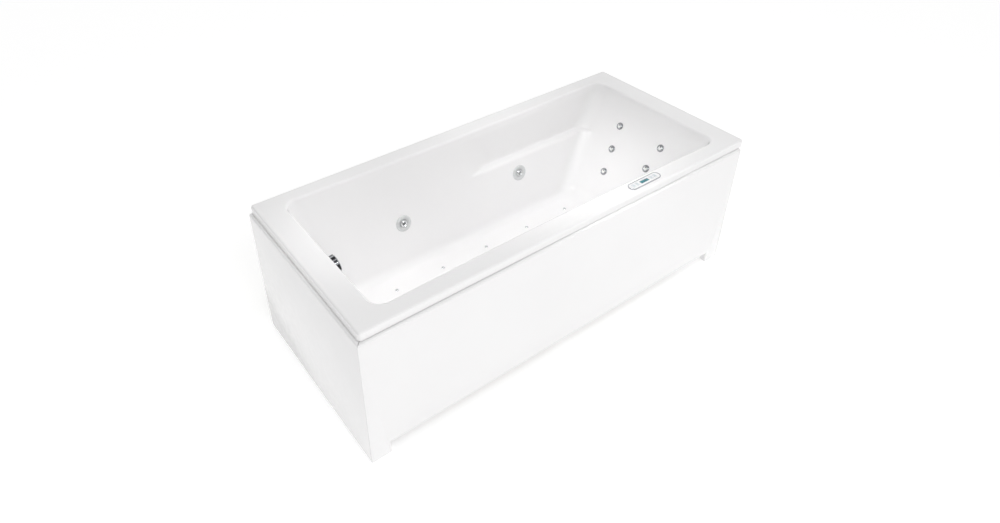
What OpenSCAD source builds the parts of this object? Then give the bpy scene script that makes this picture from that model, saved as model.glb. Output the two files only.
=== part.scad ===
// Rectangular hydromassage bath: acrylic tub on a steel frame, with a front and an end panel.
// X runs along the tub, with the foot end at -X and the backrest at +X.
// The front is -Y, the wall side is +Y, and the feet stand on z = 0.

/* [Tub] */
// Length over the rim
tub_l = 1700; // [1400:10:2000]
// Width over the rim
tub_w = 750; // [650:10:950]
// Height of the rim's top face
rim_h = 565; // [500:5:680]
// Thickness of the acrylic with its backing
wall_t = 6; // [4:0.5:8]
// Height of the rim's turned-down lip
lip_h = 30; // [20:1:45]
// Radius of the rim's outer corners
rim_r = 12; // [6:1:30]

/* [Basin] */
// Rim width at the foot end
rim_foot = 93; // [70:1:130]
// Rim width at the head end
rim_head = 93; // [70:1:130]
// Rim width along each side
rim_side = 65; // [55:1:90]
// Depth from the rim's top to the basin's floor
basin_depth = 430; // [380:5:460]
// Corner radius of the basin at the rim
open_r = 45; // [30:1:70]
// Corner radius of the basin at its floor
floor_corner_r = 70; // [50:1:100]
// Radius between the walls and the floor
floor_round = 40; // [25:1:60]
// How far the foot wall leans in
foot_rake = 65; // [40:1:90]
// How far each side wall leans in
side_rake = 93; // [60:1:110]
// How far the backrest leans in
head_rake = 219; // [150:1:260]
// Upright stretch of the head wall above the backrest
head_drop = 25; // [15:1:50]
// Depth of the armrest ledge below the rim
ledge_depth = 180; // [150:1:200]
// Foot-side end of the armrest ledge
ledge_start = 60; // [0:5:200]

/* [Panels] */
// How far the panels stand out past the rim
panel_out = 11; // [6:1:18]
// Panel sheet thickness
panel_t = 4; // [3:0.5:6]
// Depth of the panels' turned-in edges
panel_return = 26; // [15:1:30]
// Gap between a panel's top edge and the lip
panel_gap = 2; // [1:0.5:5]
// Gap between the panels and the floor
panel_clear = 2; // [2:0.5:6]
// How far the front panel stops short of the head end
panel_short = 17; // [8:1:40]
// Height of the toe recess under the front panel
recess_h = 47; // [30:1:70]
// Width of the corner tabs beside the toe recess
tab_w = 75; // [50:1:120]

/* [Frame] */
// Side of the square steel tube
tube = 30; // [25:1:35]
// Wall of the steel tube
tube_t = 2; // [1.5:0.5:3]
// Side of the square posts under the rim
post = 20; // [16:1:25]
// Thickness of the board under the basin
board_t = 16; // [12:1:20]
// Length of the board under the basin
board_l = 920; // [800:10:940]
// Width of the board under the basin
board_w = 330; // [310:5:345]
// Distance between the centres of the two long rails
rail_gap = 300; // [270:2:310]
// Distance from the rim's foot end to the first cross beam
beam_foot = 150; // [140:5:170]
// Distance from the rim's head end to the last cross beam
beam_head = 210; // [190:5:230]

/* [Feet] */
// Radius of a foot's threaded rod
rod_r = 6; // [5:0.5:8]
// Radius of a foot's pad
pad_r = 27; // [20:1:32]
// Height of a foot's pad
pad_h = 14; // [8:1:18]
// Distance between the front and back feet
foot_gap = 600; // [560:10:620]

/* [Waste] */
// Distance from the rim's foot end to the drain
drain_from_foot = 280; // [265:5:300]
// Radius of the hole in the floor
drain_hole_r = 26; // [24:0.5:28]
// Radius of the drain's flange
drain_flange_r = 36; // [32:0.5:40]
// How far the plug lifts
plug_lift = 10; // [6:1:12]
// Radius of the trap's cup
trap_r = 46; // [40:1:50]
// Outer radius of the outlet pipe
outlet_r = 20; // [16:1:22]
// Length of the outlet pipe's spigot, which goes into the house's drain
spigot_l = 60; // [40:5:80]
// Depth of the overflow's centre below the rim
overflow_depth = 70; // [60:1:90]
// Radius of the overflow's rosette
overflow_r = 34; // [30:1:38]

/* [Jets] */
// Radius of a side jet's flange
side_jet_r = 33; // [30:0.5:36]
// Radius of a side jet's ball nozzle
eye_r = 16; // [13:0.5:18]
// Depth of the side jets below the rim
side_jet_depth = 251; // [240:1:262]
// Distance between two side jets
side_jet_gap = 580; // [480:10:640]
// Shift of the side jets towards the foot end
side_jet_shift = 28; // [0:1:60]
// Radius of a back jet's flange
back_jet_r = 16; // [14:0.5:20]
// Depth of the top back jets below the rim
back_jet_depth = 116; // [100:1:130]
// Height between two rows of back jets
back_jet_step = 87; // [75:1:95]
// Half the distance between the top back jets
back_jet_half = 112; // [90:1:125]
// How much each lower row of back jets closes in
back_jet_taper = 16; // [5:1:20]
// Radius of the suction grille
grille_r = 46; // [40:1:50]
// Depth of the suction grille below the rim
grille_depth = 333; // [325:1:338]

/* [Pipes and machines] */
// Outer radius of the water manifold
manifold_r = 16; // [13:1:18]
// Outer radius of the suction pipe
suction_r = 24; // [20:1:26]
// Outer radius of the overflow hose
hose_r = 13; // [11:1:14]
// Radius of the pump's motor
motor_r = 60; // [50:1:64]
// Length of the pump's motor
motor_l = 200; // [160:5:205]
// Radius of the pump's casing
casing_r = 70; // [60:1:72]
// Radius of the air blower
blower_r = 55; // [45:1:58]
// Height of the air blower
blower_h = 120; // [100:1:140]
// Radius of the air rails under the floor
air_rail_r = 9; // [7:0.5:10]

/* [Air nozzles] */
// Distance between two air nozzles along the floor
air_pitch = 215; // [180:5:220]
// Half the distance between the two rows of air nozzles
air_half = 116; // [105:1:120]
// Radius of an air nozzle's cap
air_cap_r = 7; // [5:0.5:9]

/* [Keypad] */
// Length of the keypad
keypad_l = 152; // [130:1:180]
// Width of the keypad
keypad_w = 36; // [30:1:44]
// Distance of the keypad's centre from the tub's middle
keypad_x = 333; // [250:1:450]
// Width of the chrome rim round the keypad
bezel_w = 3; // [2:0.5:5]
// How far a key travels
key_travel = 0.8; // [0.5:0.1:1.2]

/* [Fits] */
// Play of a piece that turns or slides
play = 0.4; // [0.3:0.05:0.6]
// Play of a piece that is screwed or pushed in
slip = 0.1; // [0.05:0.05:0.2]

/* [Hidden] */
$fn = 64;

// Places of the tub, worked out from its sizes
tub_x = panel_out / 2;
tub_y = panel_out / 2;
floor_z = rim_h - basin_depth;
low_z = floor_z + floor_round;
drop_z = rim_h - head_drop;
foot_x = -tub_l / 2 + rim_foot;
head_x = tub_l / 2 - rim_head;
side_y = tub_w / 2 - rim_side;
wall_rise = rim_h - low_z;
back_rise = drop_z - low_z;
foot_a = atan(foot_rake / wall_rise);
side_a = atan(side_rake / wall_rise);
head_a = atan(head_rake / back_rise);
ledge_z = rim_h - ledge_depth;
scoop_y = side_y - 10;
under_z = floor_z - wall_t;

// Heights of the frame, downwards from the floor of the basin
board_z = under_z - board_t;
rail_z = board_z - tube;
beam_z = rail_z - tube;
rail_y = rail_gap / 2;
beam_xs = [-tub_l / 2 + beam_foot, -20, tub_l / 2 - beam_head];
post_y = tub_w / 2 - wall_t - 14 - post;
panel_top = rim_h - lip_h - panel_gap;
panel_face_y = -tub_w / 2 - panel_out;
panel_face_x = -tub_l / 2 - panel_out;
panel_end_x = tub_l / 2 - panel_short;
rail_x0 = panel_face_x + panel_t + 12;
rail_x1 = tub_l / 2 - 30;
foot_top = rail_z + 15;
nut_h = 8;
clip_w = 28;
clip_h = 34;
clip_t = 3;
foot_places = [
    [beam_xs[0], -foot_gap / 2], [beam_xs[2], -foot_gap / 2], [beam_xs[0], foot_gap / 2],
    [beam_xs[2], foot_gap / 2], [beam_xs[1], 0]
];

// Places of the fittings
drain_x = -tub_l / 2 + drain_from_foot;
overflow_z = rim_h - overflow_depth;
side_jet_z = rim_h - side_jet_depth;
side_jet_xs = [-side_jet_shift - side_jet_gap / 2, -side_jet_shift + side_jet_gap / 2];
side_jet_spots = [for (s = [1, -1], x = side_jet_xs) [x, s]];
back_jet_spots = [for (s = [1, -1], i = [0 : 2])
    [s * (back_jet_half - i * back_jet_taper), rim_h - back_jet_depth - i * back_jet_step]];
grille_z = rim_h - grille_depth;
grille_x = -side_jet_shift;
board_x = -15;
air_xs = [for (i = [-2 : 2]) board_x + i * air_pitch];
keypad_y = -tub_w / 2 + rim_side / 2 + 3;
keypad_h = 3.4;
lens_l = 40;
lens_w = 14;
key_xs = [-53, -35, 35, 53];
key_w = 13;

// Places of the machines at the head end
tray_z = rail_z + tube;
tray_t = 4;
tray_l = 160;
tray_edge = 12;
tray_x0 = rail_x1 - tray_l;
pump_x = tray_x0 + 82;
pump_z = tray_z + tray_t + casing_r + 6;
casing_y = -238;
casing_l = 58;
casing_wall = 6;
shaft_r = 7;
outlet_up = 90;
riser_x = pump_x + casing_r - manifold_r - 6;
riser_y = casing_y + casing_l / 2;
manifold_z = ledge_z - wall_t - manifold_r - 18;
manifold_y = wall_y(side_jet_z) + 45;
blower_y = casing_y + casing_l + motor_l + blower_r + 16;
box_y = blower_y + blower_r + 12;
box_l = 110;
box_w = 80;
box_h = 110;
box_wall = 3;
gland_l = 22;
gland_z = 34;
gland_bore = 4.5;

// Waste and overflow
gasket_t = 2;
overflow_hole_r = 22;
waste_spigot_r = drain_hole_r - slip;
body_top = under_z - gasket_t;
body_r = drain_hole_r + 7;
trap_top = 72;
trap_z = 12;
trap_wall = 3;
neck_z = trap_top - 2;
outlet_z = trap_top - outlet_r - 6;
outlet_end = tub_w / 2 - 25;
outlet_wall = 2.5;
spigot_r = outlet_r - 1;
port_z = body_top - hose_r - 8;
plug_stem_r = 4;
cable_r = 3;
boss_z = port_z - hose_r + 6;
knob_r = overflow_r - 3;
knob_gap = 7;
knob_h = 20;
knob_stem_r = 6;
elbow_depth = 52;
elbow_r = 29;
cable_y = elbow_r - 6;
cable_z = port_z + 4;
elbow_x = wall_x0(overflow_z) - 38 * cos(foot_a);
elbow_z = overflow_z - 38 * sin(foot_a);

// Jets, suction and air nozzles
jet_spigot_r = side_jet_r - 8;
jet_body_r = jet_spigot_r + 4;
jet_body_l = 50;
eye_z = -2;
back_spigot_r = back_jet_r - 6;
back_body_l = 34;
back_pipe_r = 9;
nozzle_r = back_jet_r - 4;
suction_spigot_r = grille_r - 12;
suction_depth = wall_t + 28;
suction_start = [grille_x + suction_spigot_r + 26, -wall_y(grille_z) - suction_depth * cos(side_a),
    grille_z - suction_depth * sin(side_a)];
inlet_y = casing_y - 24;
air_stem_r = 4;
air_cap_h = 2.5;
air_end_x = air_xs[4] + 45;
air_rail_z = board_z - air_rail_r - 1;

// Blower and keypad
blower_x = tray_x0 + 90;
blower_port_h = 28;
blower_out_z = tray_z + tray_t + blower_port_h;
air_hose_r = 12;
key_stem_r = 5;

// The basin's three sloping walls as straight lines in height
function wall_x0(z) = foot_x + (rim_h - z) * tan(foot_a);
function wall_x1(z) = head_x - max(0, drop_z - z) * tan(head_a);
function wall_y(z) = side_y - (rim_h - z) * tan(side_a);

// ---- shapes that repeat ----

module on_tub() translate([tub_x, tub_y, 0]) children();

// Local +z points from the wall's inner face into the basin
module on_side(x, side, z)
    translate([x, side * wall_y(z), z]) rotate([side * (90 - side_a), 0, 0]) children();

module on_foot(z) translate([wall_x0(z), 0, z]) rotate([0, 90 - foot_a, 0]) children();

module on_back(y, z) translate([wall_x1(z), y, z]) rotate([0, head_a - 90, 0]) children();

module rounded_plate(x0, x1, y0, y1, r, h) linear_extrude(h) {
    translate([x0 + r, y0]) square([x1 - x0 - 2 * r, y1 - y0]);
    translate([x0, y0 + r]) square([x1 - x0, y1 - y0 - 2 * r]);
    for (x = [x0 + r, x1 - r], y = [y0 + r, y1 - r]) translate([x, y]) circle(r);
}

module tube_z(r, bore, h) difference() {
    cylinder(r = r, h = h);
    translate([0, 0, -1]) cylinder(r = bore, h = h + 2);
}

module square_tube(l, w, h) difference() {
    cube([l, w, h]);
    translate([-1, tube_t, tube_t]) cube([l + 2, w - 2 * tube_t, h - 2 * tube_t]);
}

module hex_nut(r, bore, h) difference() {
    cylinder(r = r, h = h, $fn = 6);
    translate([0, 0, -1]) cylinder(r = bore, h = h + 2);
}

module stadium(l, w, h) linear_extrude(h) {
    square([l - w, w], center = true);
    for (s = [-1, 1]) translate([s * (l - w) / 2, 0]) circle(d = w);
}

// A route with its corners turned into arcs
function unit(v) = v / norm(v);
function corner(a, b, c, r, n) =
    let (u = unit(a - b), v = unit(c - b), half = acos(u * v) / 2)
    let (back = r / tan(half), mid = b + unit(u + v) * (r / sin(half)))
    let (p = b + u * back, q = b + v * back, e = unit(p - mid), f = unit(q - mid))
    let (turn = 180 - 2 * half)
    [for (i = [0 : n]) let (t = i / n) mid + r * (sin((1 - t) * turn) * e + sin(t * turn) * f) / sin(turn)];
function route(pts, r, n = 5) = [
    pts[0],
    for (i = [1 : len(pts) - 2]) each corner(pts[i - 1], pts[i], pts[i + 1], r, n),
    pts[len(pts) - 1]
];

// A pipe or hose swept along a route, with a bore where wall is above 0
function tangent(p, i) = unit(p[min(i + 1, len(p) - 1)] - p[max(i - 1, 0)]);
function carried(p, i, u) = let (t = tangent(p, i)) unit(u - (u * t) * t);
function sides_at(p, i, u) = i == 0 ? [carried(p, 0, u)]
    : let (all = sides_at(p, i - 1, u)) concat(all, [carried(p, i, all[i - 1])]);
module pipe(pts, r, wall, sides, up = [0, 0.03, 1]) {
    n = len(pts);
    us = sides_at(pts, n - 1, up);
    rings = [for (k = [r, r - wall], i = [0 : n - 1]) let (u = us[i], v = cross(tangent(pts, i), u))
        for (j = [0 : sides - 1]) let (a = 360 * j / sides) pts[i] + k * (cos(a) * u + sin(a) * v)];
    m = n * sides;
    outer = [for (i = [0 : n - 2], j = [0 : sides - 1]) let (k = (j + 1) % sides)
        [i * sides + j, (i + 1) * sides + j, (i + 1) * sides + k, i * sides + k]];
    inner = [for (q = outer) [q[3] + m, q[2] + m, q[1] + m, q[0] + m]];
    first = [for (j = [0 : sides - 1]) let (k = (j + 1) % sides) [j, k, m + k, m + j]];
    last = [for (q = first) let (s = m - sides) [q[3] + s, q[2] + s, q[1] + s, q[0] + s]];
    polyhedron(points = rings, faces = concat(outer, inner, first, last), convexity = 6);
}

// ---- tub and panels ----

// How far a wall stands out from the centre line of its round to the floor, at height z
function bulge(z, a, grow) =
    let (r = floor_round + grow, drop = low_z - z)
    drop <= r * sin(a) ? (r - drop * sin(a)) / cos(a) : sqrt(max(0, r * r - drop * drop));

module basin_layer(z, r, grow, h = 1) {
    low = z < low_z;
    x0 = low ? wall_x0(low_z) + floor_round / cos(foot_a) - bulge(z, foot_a, grow)
        : wall_x0(z) - grow / cos(foot_a);
    x1 = low ? wall_x1(low_z) - floor_round / cos(head_a) + bulge(z, head_a, grow)
        : wall_x1(z) + grow / cos(head_a);
    y = low ? wall_y(low_z) - floor_round / cos(side_a) + bulge(z, side_a, grow)
        : wall_y(z) + grow / cos(side_a);
    translate([0, 0, z]) rounded_plate(x0, x1, -y, y, r, h, $fn = 32);
}

module basin_block(grow, top, h) hull() {
    r = floor_round + grow;
    basin_layer(top, open_r + grow, grow, h);
    basin_layer(drop_z, open_r + grow, grow);
    basin_layer(low_z, floor_corner_r + grow, grow, 0.2);
    for (t = [35, 55, 72]) basin_layer(low_z - r * sin(t), floor_corner_r - 12 * sin(t) + grow, grow, 0.2);
    basin_layer(low_z - r, floor_corner_r - 20 + grow, grow);
}

// The hollow above an armrest ledge
module elbow_hollow(grow) {
    top_z = rim_h - 24;
    for (s = [0, 1]) mirror([0, s, 0]) hull() {
        translate([0, 0, ledge_z - grow]) rounded_plate(ledge_start - grow, wall_x1(ledge_z) - 20 + grow,
            wall_y(ledge_z) - 60, scoop_y - 8 + grow, 24 + grow, 1, $fn = 32);
        translate([0, 0, ledge_z + 10 - grow * 0.5]) rounded_plate(ledge_start - 8 - grow,
            wall_x1(ledge_z) - 12 + grow, wall_y(ledge_z) - 60, scoop_y + grow, 24 + grow, 1, $fn = 32);
        translate([0, 0, top_z]) rounded_plate(ledge_start - 60 - grow, wall_x1(top_z) - 12 + grow,
            wall_y(top_z) - 90, wall_y(top_z) + grow, 24 + grow, 1, $fn = 32);
    }
}

module rim() {
    x = tub_l / 2;
    y = tub_w / 2;
    difference() {
        translate([0, 0, rim_h - lip_h]) rounded_plate(-x, x, -y, y, rim_r, lip_h);
        translate([0, 0, rim_h - lip_h - 1]) rounded_plate(-x + wall_t, x - wall_t, -y + wall_t, y - wall_t,
            rim_r - wall_t / 2, lip_h - wall_t + 1);
    }
}

module tub_shell() color("white") on_tub() difference() {
    union() {
        rim();
        basin_block(wall_t, rim_h - wall_t, wall_t / 2);
        elbow_hollow(wall_t);
    }
    basin_block(0, rim_h, 5);
    elbow_hollow(0);
    translate([drain_x, 0, under_z - 5]) cylinder(r = drain_hole_r, h = wall_t + 10);
    on_foot(overflow_z) translate([0, 0, -20]) cylinder(r = overflow_hole_r, h = 30);
    for (p = side_jet_spots) on_side(p[0], p[1], side_jet_z) translate([0, 0, -20])
        cylinder(r = jet_spigot_r + slip, h = 30);
    for (p = back_jet_spots) on_back(p[0], p[1]) translate([0, 0, -20])
        cylinder(r = back_spigot_r + slip, h = 30);
    on_side(grille_x, -1, grille_z) translate([0, 0, -20]) cylinder(r = suction_spigot_r + slip, h = 30);
    for (x = air_xs, s = [-1, 1]) translate([x, s * air_half, under_z - 5])
        cylinder(r = air_stem_r + slip, h = wall_t + 10);
    translate([keypad_x, keypad_y, rim_h - wall_t - 5]) cylinder(r = key_stem_r + slip, h = wall_t + 10);
}

module base_board() color("burlywood") on_tub() difference() {
    translate([board_x - board_l / 2, -board_w / 2, board_z]) cube([board_l, board_w, board_t]);
    for (x = air_xs, s = [-1, 1]) translate([x, s * air_half, board_z - 1])
        cylinder(r = air_rail_r + 5, h = board_t + 2);
}

module front_panel() color("white") on_tub() {
    top = panel_top - panel_clear;
    l = panel_end_x - panel_face_x;
    translate([panel_face_x, panel_face_y, panel_clear]) {
        rotate([90, 0, 0]) translate([0, 0, -panel_t]) linear_extrude(panel_t) difference() {
            square([l, top]);
            translate([tab_w, -1]) square([l - 2 * tab_w, recess_h + 1]);
        }
        translate([panel_t + slip, 0, top - panel_t]) cube([l - panel_t - slip, panel_return, panel_t]);
        translate([l - panel_t, 0, 0]) cube([panel_t, panel_return, top]);
        translate([tab_w - panel_t, 0, recess_h]) cube([l - 2 * tab_w + 2 * panel_t, panel_return, panel_t]);
        for (x = [tab_w - panel_t, l - tab_w]) translate([x, 0, 0])
            cube([panel_t, panel_return, recess_h + panel_t]);
    }
}

module end_panel() color("white") on_tub() {
    y0 = panel_face_y + panel_t + slip;
    w = tub_w / 2 - y0;
    top = panel_top - panel_clear;
    translate([panel_face_x, y0, panel_clear]) {
        cube([panel_t, w, top]);
        translate([0, panel_return, top - panel_t]) cube([panel_return, w - panel_return, panel_t]);
        translate([0, w - panel_t, 0]) cube([panel_return, panel_t, top]);
    }
}

module panel_clips() color("dimgray") on_tub() {
    back_y = panel_face_y + panel_t;
    reach = -post_y - post - back_y;
    for (x = beam_xs, z = [beam_z + tube + 25, panel_top - 90]) translate([x - clip_w / 2, back_y, z]) {
        cube([clip_w, clip_t, clip_h]);
        cube([clip_w, reach, clip_t]);
        translate([0, reach - clip_t, 0]) cube([clip_w, clip_t, clip_h]);
    }
    for (s = [-1, 1]) translate([panel_face_x + panel_t, s * rail_y - tube / 2, rail_z])
        cube([rail_x0 - panel_face_x - panel_t, tube, tube]);
}

// ---- frame ----

module long_rails() color("silver") on_tub()
    for (s = [-1, 1]) translate([rail_x0, s * rail_y - tube / 2, rail_z])
        square_tube(rail_x1 - rail_x0, tube, tube);

module cross_beams() color("silver") on_tub() difference() {
    for (x = beam_xs) translate([x + tube / 2, -post_y - post, beam_z]) rotate([0, 0, 90])
        square_tube(2 * (post_y + post), tube, tube);
    for (p = foot_places) translate([p[0], p[1], beam_z - 1]) cylinder(r = rod_r + play, h = tube + 2);
}

module rim_posts() color("silver") on_tub()
    for (x = beam_xs, s = [-1, 1]) translate([x, s * (post_y + post / 2), rail_z]) difference() {
        h = rim_h - wall_t - rail_z;
        translate([-post / 2, -post / 2, 0]) cube([post, post, h]);
        translate([-post / 2 + tube_t, -post / 2 + tube_t, -1])
            cube([post - 2 * tube_t, post - 2 * tube_t, h - 3]);
    }

module frame_bolts() color("gray") on_tub() {
    for (p = foot_places, z = [beam_z - nut_h, rail_z]) translate([p[0], p[1], z])
        hex_nut(rod_r * 1.65, rod_r + play, nut_h);
    for (x = beam_xs, s = [-1, 1]) translate([x, s * rail_y, beam_z - 5]) cylinder(r = 6.5, h = 5, $fn = 6);
}

module foot(i) color("dimgray") on_tub() translate([foot_places[i][0], foot_places[i][1], 0]) {
    cylinder(r = rod_r, h = foot_top);
    cylinder(r1 = pad_r, r2 = pad_r - 2, h = pad_h * 0.4);
    translate([0, 0, pad_h * 0.4]) cylinder(r1 = pad_r - 2, r2 = rod_r + 5, h = pad_h * 0.6);
}

// ---- waste and overflow ----

module drain_flange() color("silver") on_tub() translate([drain_x, 0, 0]) difference() {
    union() {
        translate([0, 0, floor_z]) cylinder(r1 = drain_flange_r, r2 = drain_flange_r - 3, h = 3);
        translate([0, 0, body_top - 14]) cylinder(r = waste_spigot_r, h = floor_z - body_top + 15);
    }
    translate([0, 0, body_top - 15]) cylinder(r = waste_spigot_r - 3, h = 40);
}

module drain_plug() color("silver") on_tub() translate([drain_x, 0, 0]) {
    lid_z = floor_z + 3 + play;
    translate([0, 0, lid_z]) cylinder(r1 = drain_flange_r - 5, r2 = drain_flange_r - 9, h = 5);
    translate([0, 0, lid_z - 7]) cylinder(r = waste_spigot_r - 4, h = 7);
    stem_z = boss_z - 8 - plug_lift;
    translate([0, 0, stem_z]) cylinder(r = plug_stem_r, h = lid_z - stem_z);
}

module drain_body() color("white") on_tub() translate([drain_x, 0, 0]) difference() {
    union() {
        translate([0, 0, body_top - 5]) cylinder(r = body_r + 4, h = 5);
        translate([0, 0, neck_z + 12]) cylinder(r = body_r, h = body_top - neck_z - 12);
        translate([0, 0, neck_z]) cylinder(r = outlet_r + 4, h = 14);
        translate([-body_r - 14, 0, port_z]) rotate([0, 90, 0]) cylinder(r = hose_r + 2, h = body_r + 14);
    }
    difference() {
        translate([0, 0, neck_z + 15]) cylinder(r = waste_spigot_r + 2 * slip, h = 60);
        translate([-50, -3, boss_z - 6]) cube([100, 6, 6]);
        translate([0, 0, boss_z - 6]) cylinder(r = plug_stem_r + 4, h = 6);
    }
    translate([0, 0, neck_z - 1]) cylinder(r = outlet_r, h = 20);
    translate([0, 0, boss_z - 20]) cylinder(r = plug_stem_r + play, h = 40);
    translate([-body_r - 15, 0, port_z]) rotate([0, 90, 0]) cylinder(r = hose_r, h = body_r);
    translate([-body_r - 15, cable_y, cable_z]) rotate([0, 90, 0]) cylinder(r = cable_r + slip, h = body_r);
}

module drain_trap() color("white") on_tub() translate([drain_x, 0, 0]) {
    difference() {
        union() {
            translate([0, 0, trap_z]) cylinder(r = trap_r, h = trap_top - trap_z);
            translate([0, 0, outlet_z]) rotate([-90, 0, 0]) cylinder(r = outlet_r + 4, h = trap_r + 18);
        }
        translate([0, 0, trap_z + trap_wall])
            cylinder(r = trap_r - trap_wall, h = trap_top - trap_z - 2 * trap_wall);
        translate([0, 0, trap_top - 10]) cylinder(r = outlet_r + 4 + slip, h = 20);
        translate([0, 0, outlet_z]) rotate([-90, 0, 0]) cylinder(r = outlet_r + slip, h = trap_r + 20);
    }
}

module union_nuts() color("whitesmoke") on_tub() {
    translate([drain_x, 0, trap_top]) tube_z(trap_r - 10, outlet_r + 4 + slip, 9);
    translate([drain_x, trap_r + 20, outlet_z]) rotate([-90, 0, 0])
        tube_z(outlet_r + 10, outlet_r + slip, 22);
    translate([pump_x, casing_y - 6, pump_z]) rotate([90, 0, 0]) tube_z(suction_r + 10, suction_r + 2, 14);
    translate([riser_x, riser_y, pump_z + outlet_up]) tube_z(manifold_r + 9, manifold_r + 2, 18);
}

module waste_outlet() color("white") on_tub() translate([drain_x, 0, outlet_z]) rotate([-90, 0, 0])
    difference() {
        union() {
            translate([0, 0, trap_r + 2]) cylinder(r = outlet_r, h = outlet_end - spigot_l - trap_r - 2);
            translate([0, 0, outlet_end - spigot_l - 5]) cylinder(r = outlet_r + 3, h = 5);
            translate([0, 0, outlet_end - spigot_l - 1]) cylinder(r = spigot_r, h = spigot_l + 1);
        }
        cylinder(r = outlet_r - outlet_wall, h = outlet_end + 1);
    }

module waste_gaskets() color("#222222") on_tub() {
    translate([drain_x, 0, body_top]) tube_z(body_r + 3, drain_hole_r, gasket_t);
    on_foot(overflow_z) translate([0, 0, -wall_t - gasket_t]) tube_z(elbow_r, overflow_hole_r, gasket_t);
}

module overflow_rosette() color("silver") on_tub() on_foot(overflow_z) difference() {
    union() {
        cylinder(r1 = overflow_r, r2 = overflow_r - 3, h = 4);
        translate([0, 0, -wall_t - gasket_t - 16])
            cylinder(r = overflow_hole_r - slip, h = wall_t + gasket_t + 18);
    }
    difference() {
        translate([0, 0, -60]) cylinder(r = overflow_hole_r - 3, h = 80);
        translate([-40, -4, 0]) cube([80, 8, 4]);
        cylinder(r = knob_stem_r + 4, h = 4);
    }
    translate([0, 0, -60]) cylinder(r = knob_stem_r + play, h = 80);
}

module overflow_knob() color("silver") on_tub() on_foot(overflow_z) difference() {
    union() {
        translate([0, 0, knob_gap]) cylinder(r = knob_r, h = knob_h - 4);
        translate([0, 0, knob_gap + knob_h - 4]) cylinder(r1 = knob_r, r2 = knob_r - 5, h = 4);
        translate([0, 0, -wall_t - 12]) cylinder(r = knob_stem_r, h = wall_t + 14 + knob_gap);
    }
    difference() {
        translate([0, 0, knob_gap - 1]) cylinder(r = knob_r - 3, h = knob_h - 3);
        cylinder(r = knob_stem_r + 4, h = knob_gap + knob_h);
    }
}

module overflow_body() color("white") on_tub() difference() {
    union() {
        on_foot(overflow_z) translate([0, 0, -elbow_depth])
            cylinder(r = elbow_r, h = elbow_depth - wall_t - gasket_t);
        translate([elbow_x, 0, elbow_z - 60]) cylinder(r = hose_r + 2, h = 60);
    }
    on_foot(overflow_z) translate([0, 0, 4 - elbow_depth])
        cylinder(r = overflow_hole_r + slip, h = elbow_depth);
    translate([elbow_x, 0, elbow_z - 61]) cylinder(r = hose_r, h = 60);
}

module overflow_hose() color("lightgray") on_tub() {
    end_x = drain_x - body_r - 12;
    pts = [[elbow_x, 0, elbow_z - 40], [elbow_x, 0, port_z], [end_x, 0, port_z]];
    pipe(route(pts, 75, 8), hose_r - slip, 2, 16, [0, 1, 0]);
}

module plug_cable() color("#333333") on_tub() {
    pts = [[elbow_x, cable_y, elbow_z - 24], [elbow_x, cable_y, cable_z], [drain_x - 18, cable_y, cable_z]];
    pipe(route(pts, 75, 8), cable_r, 1, 8, [0, 1, 0]);
}

// ---- jets and suction ----

module side_jet_flanges() color("gainsboro") on_tub()
    for (p = side_jet_spots) on_side(p[0], p[1], side_jet_z) difference() {
        union() {
            cylinder(r1 = side_jet_r, r2 = side_jet_r - 3, h = 5);
            translate([0, 0, -wall_t - 14]) cylinder(r = jet_spigot_r, h = wall_t + 15);
        }
        translate([0, 0, eye_z]) sphere(eye_r + play);
        translate([0, 0, -60]) cylinder(r = eye_r - 3, h = 55);
    }

module side_jet_eye(i) color("silver") on_tub()
    on_side(side_jet_spots[i][0], side_jet_spots[i][1], side_jet_z) translate([0, 0, eye_z]) difference() {
        sphere(eye_r);
        translate([0, 0, eye_r * 0.72]) cylinder(r = 2 * eye_r, h = 2 * eye_r);
        translate([0, 0, -2.5 * eye_r]) cylinder(r = 2 * eye_r, h = 2 * eye_r);
        translate([0, 0, -2 * eye_r]) cylinder(r = eye_r * 0.36, h = 4 * eye_r);
        translate([0, 0, eye_r * 0.45]) cylinder(r1 = eye_r * 0.36, r2 = eye_r * 0.6, h = eye_r * 0.3);
    }

module side_jet_bodies() color("white") on_tub()
    for (p = side_jet_spots) difference() {
        union() {
            on_side(p[0], p[1], side_jet_z) translate([0, 0, -wall_t - jet_body_l])
                cylinder(r = jet_body_r, h = jet_body_l);
            translate([p[0], p[1] * manifold_y, side_jet_z - 12])
                cylinder(r = 10, h = manifold_z - side_jet_z + 2);
        }
        on_side(p[0], p[1], side_jet_z) translate([0, 0, -wall_t - jet_body_l + 4])
            cylinder(r = jet_spigot_r + slip, h = jet_body_l);
        translate([0, 0, manifold_z]) rotate([0, 90, 0]) translate([0, p[1] * manifold_y, -tub_l])
            cylinder(r = manifold_r + slip, h = 2 * tub_l);
    }

module back_jet_nozzle(i) color("silver") on_tub() on_back(back_jet_spots[i][0], back_jet_spots[i][1])
    difference() {
        union() {
            translate([0, 0, 2 + play]) cylinder(r1 = nozzle_r, r2 = nozzle_r - 2, h = 3.4);
            translate([0, 0, -12]) cylinder(r = back_spigot_r - 4, h = 14 + play + 1);
        }
        translate([nozzle_r * 0.42, 0, 0]) cylinder(r = nozzle_r * 0.3, h = 20);
    }

module back_jet_bodies() color("white") on_tub()
    for (p = back_jet_spots) on_back(p[0], p[1]) difference() {
        union() {
            cylinder(r1 = back_jet_r, r2 = back_jet_r - 1, h = 2);
            translate([0, 0, -back_body_l]) cylinder(r = back_spigot_r, h = back_body_l + 1);
            translate([0, 0, -wall_t - 8]) cylinder(r = back_jet_r, h = 8);
        }
        translate([0, 0, -14]) cylinder(r = back_spigot_r - 4 + play, h = 30);
    }

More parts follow.
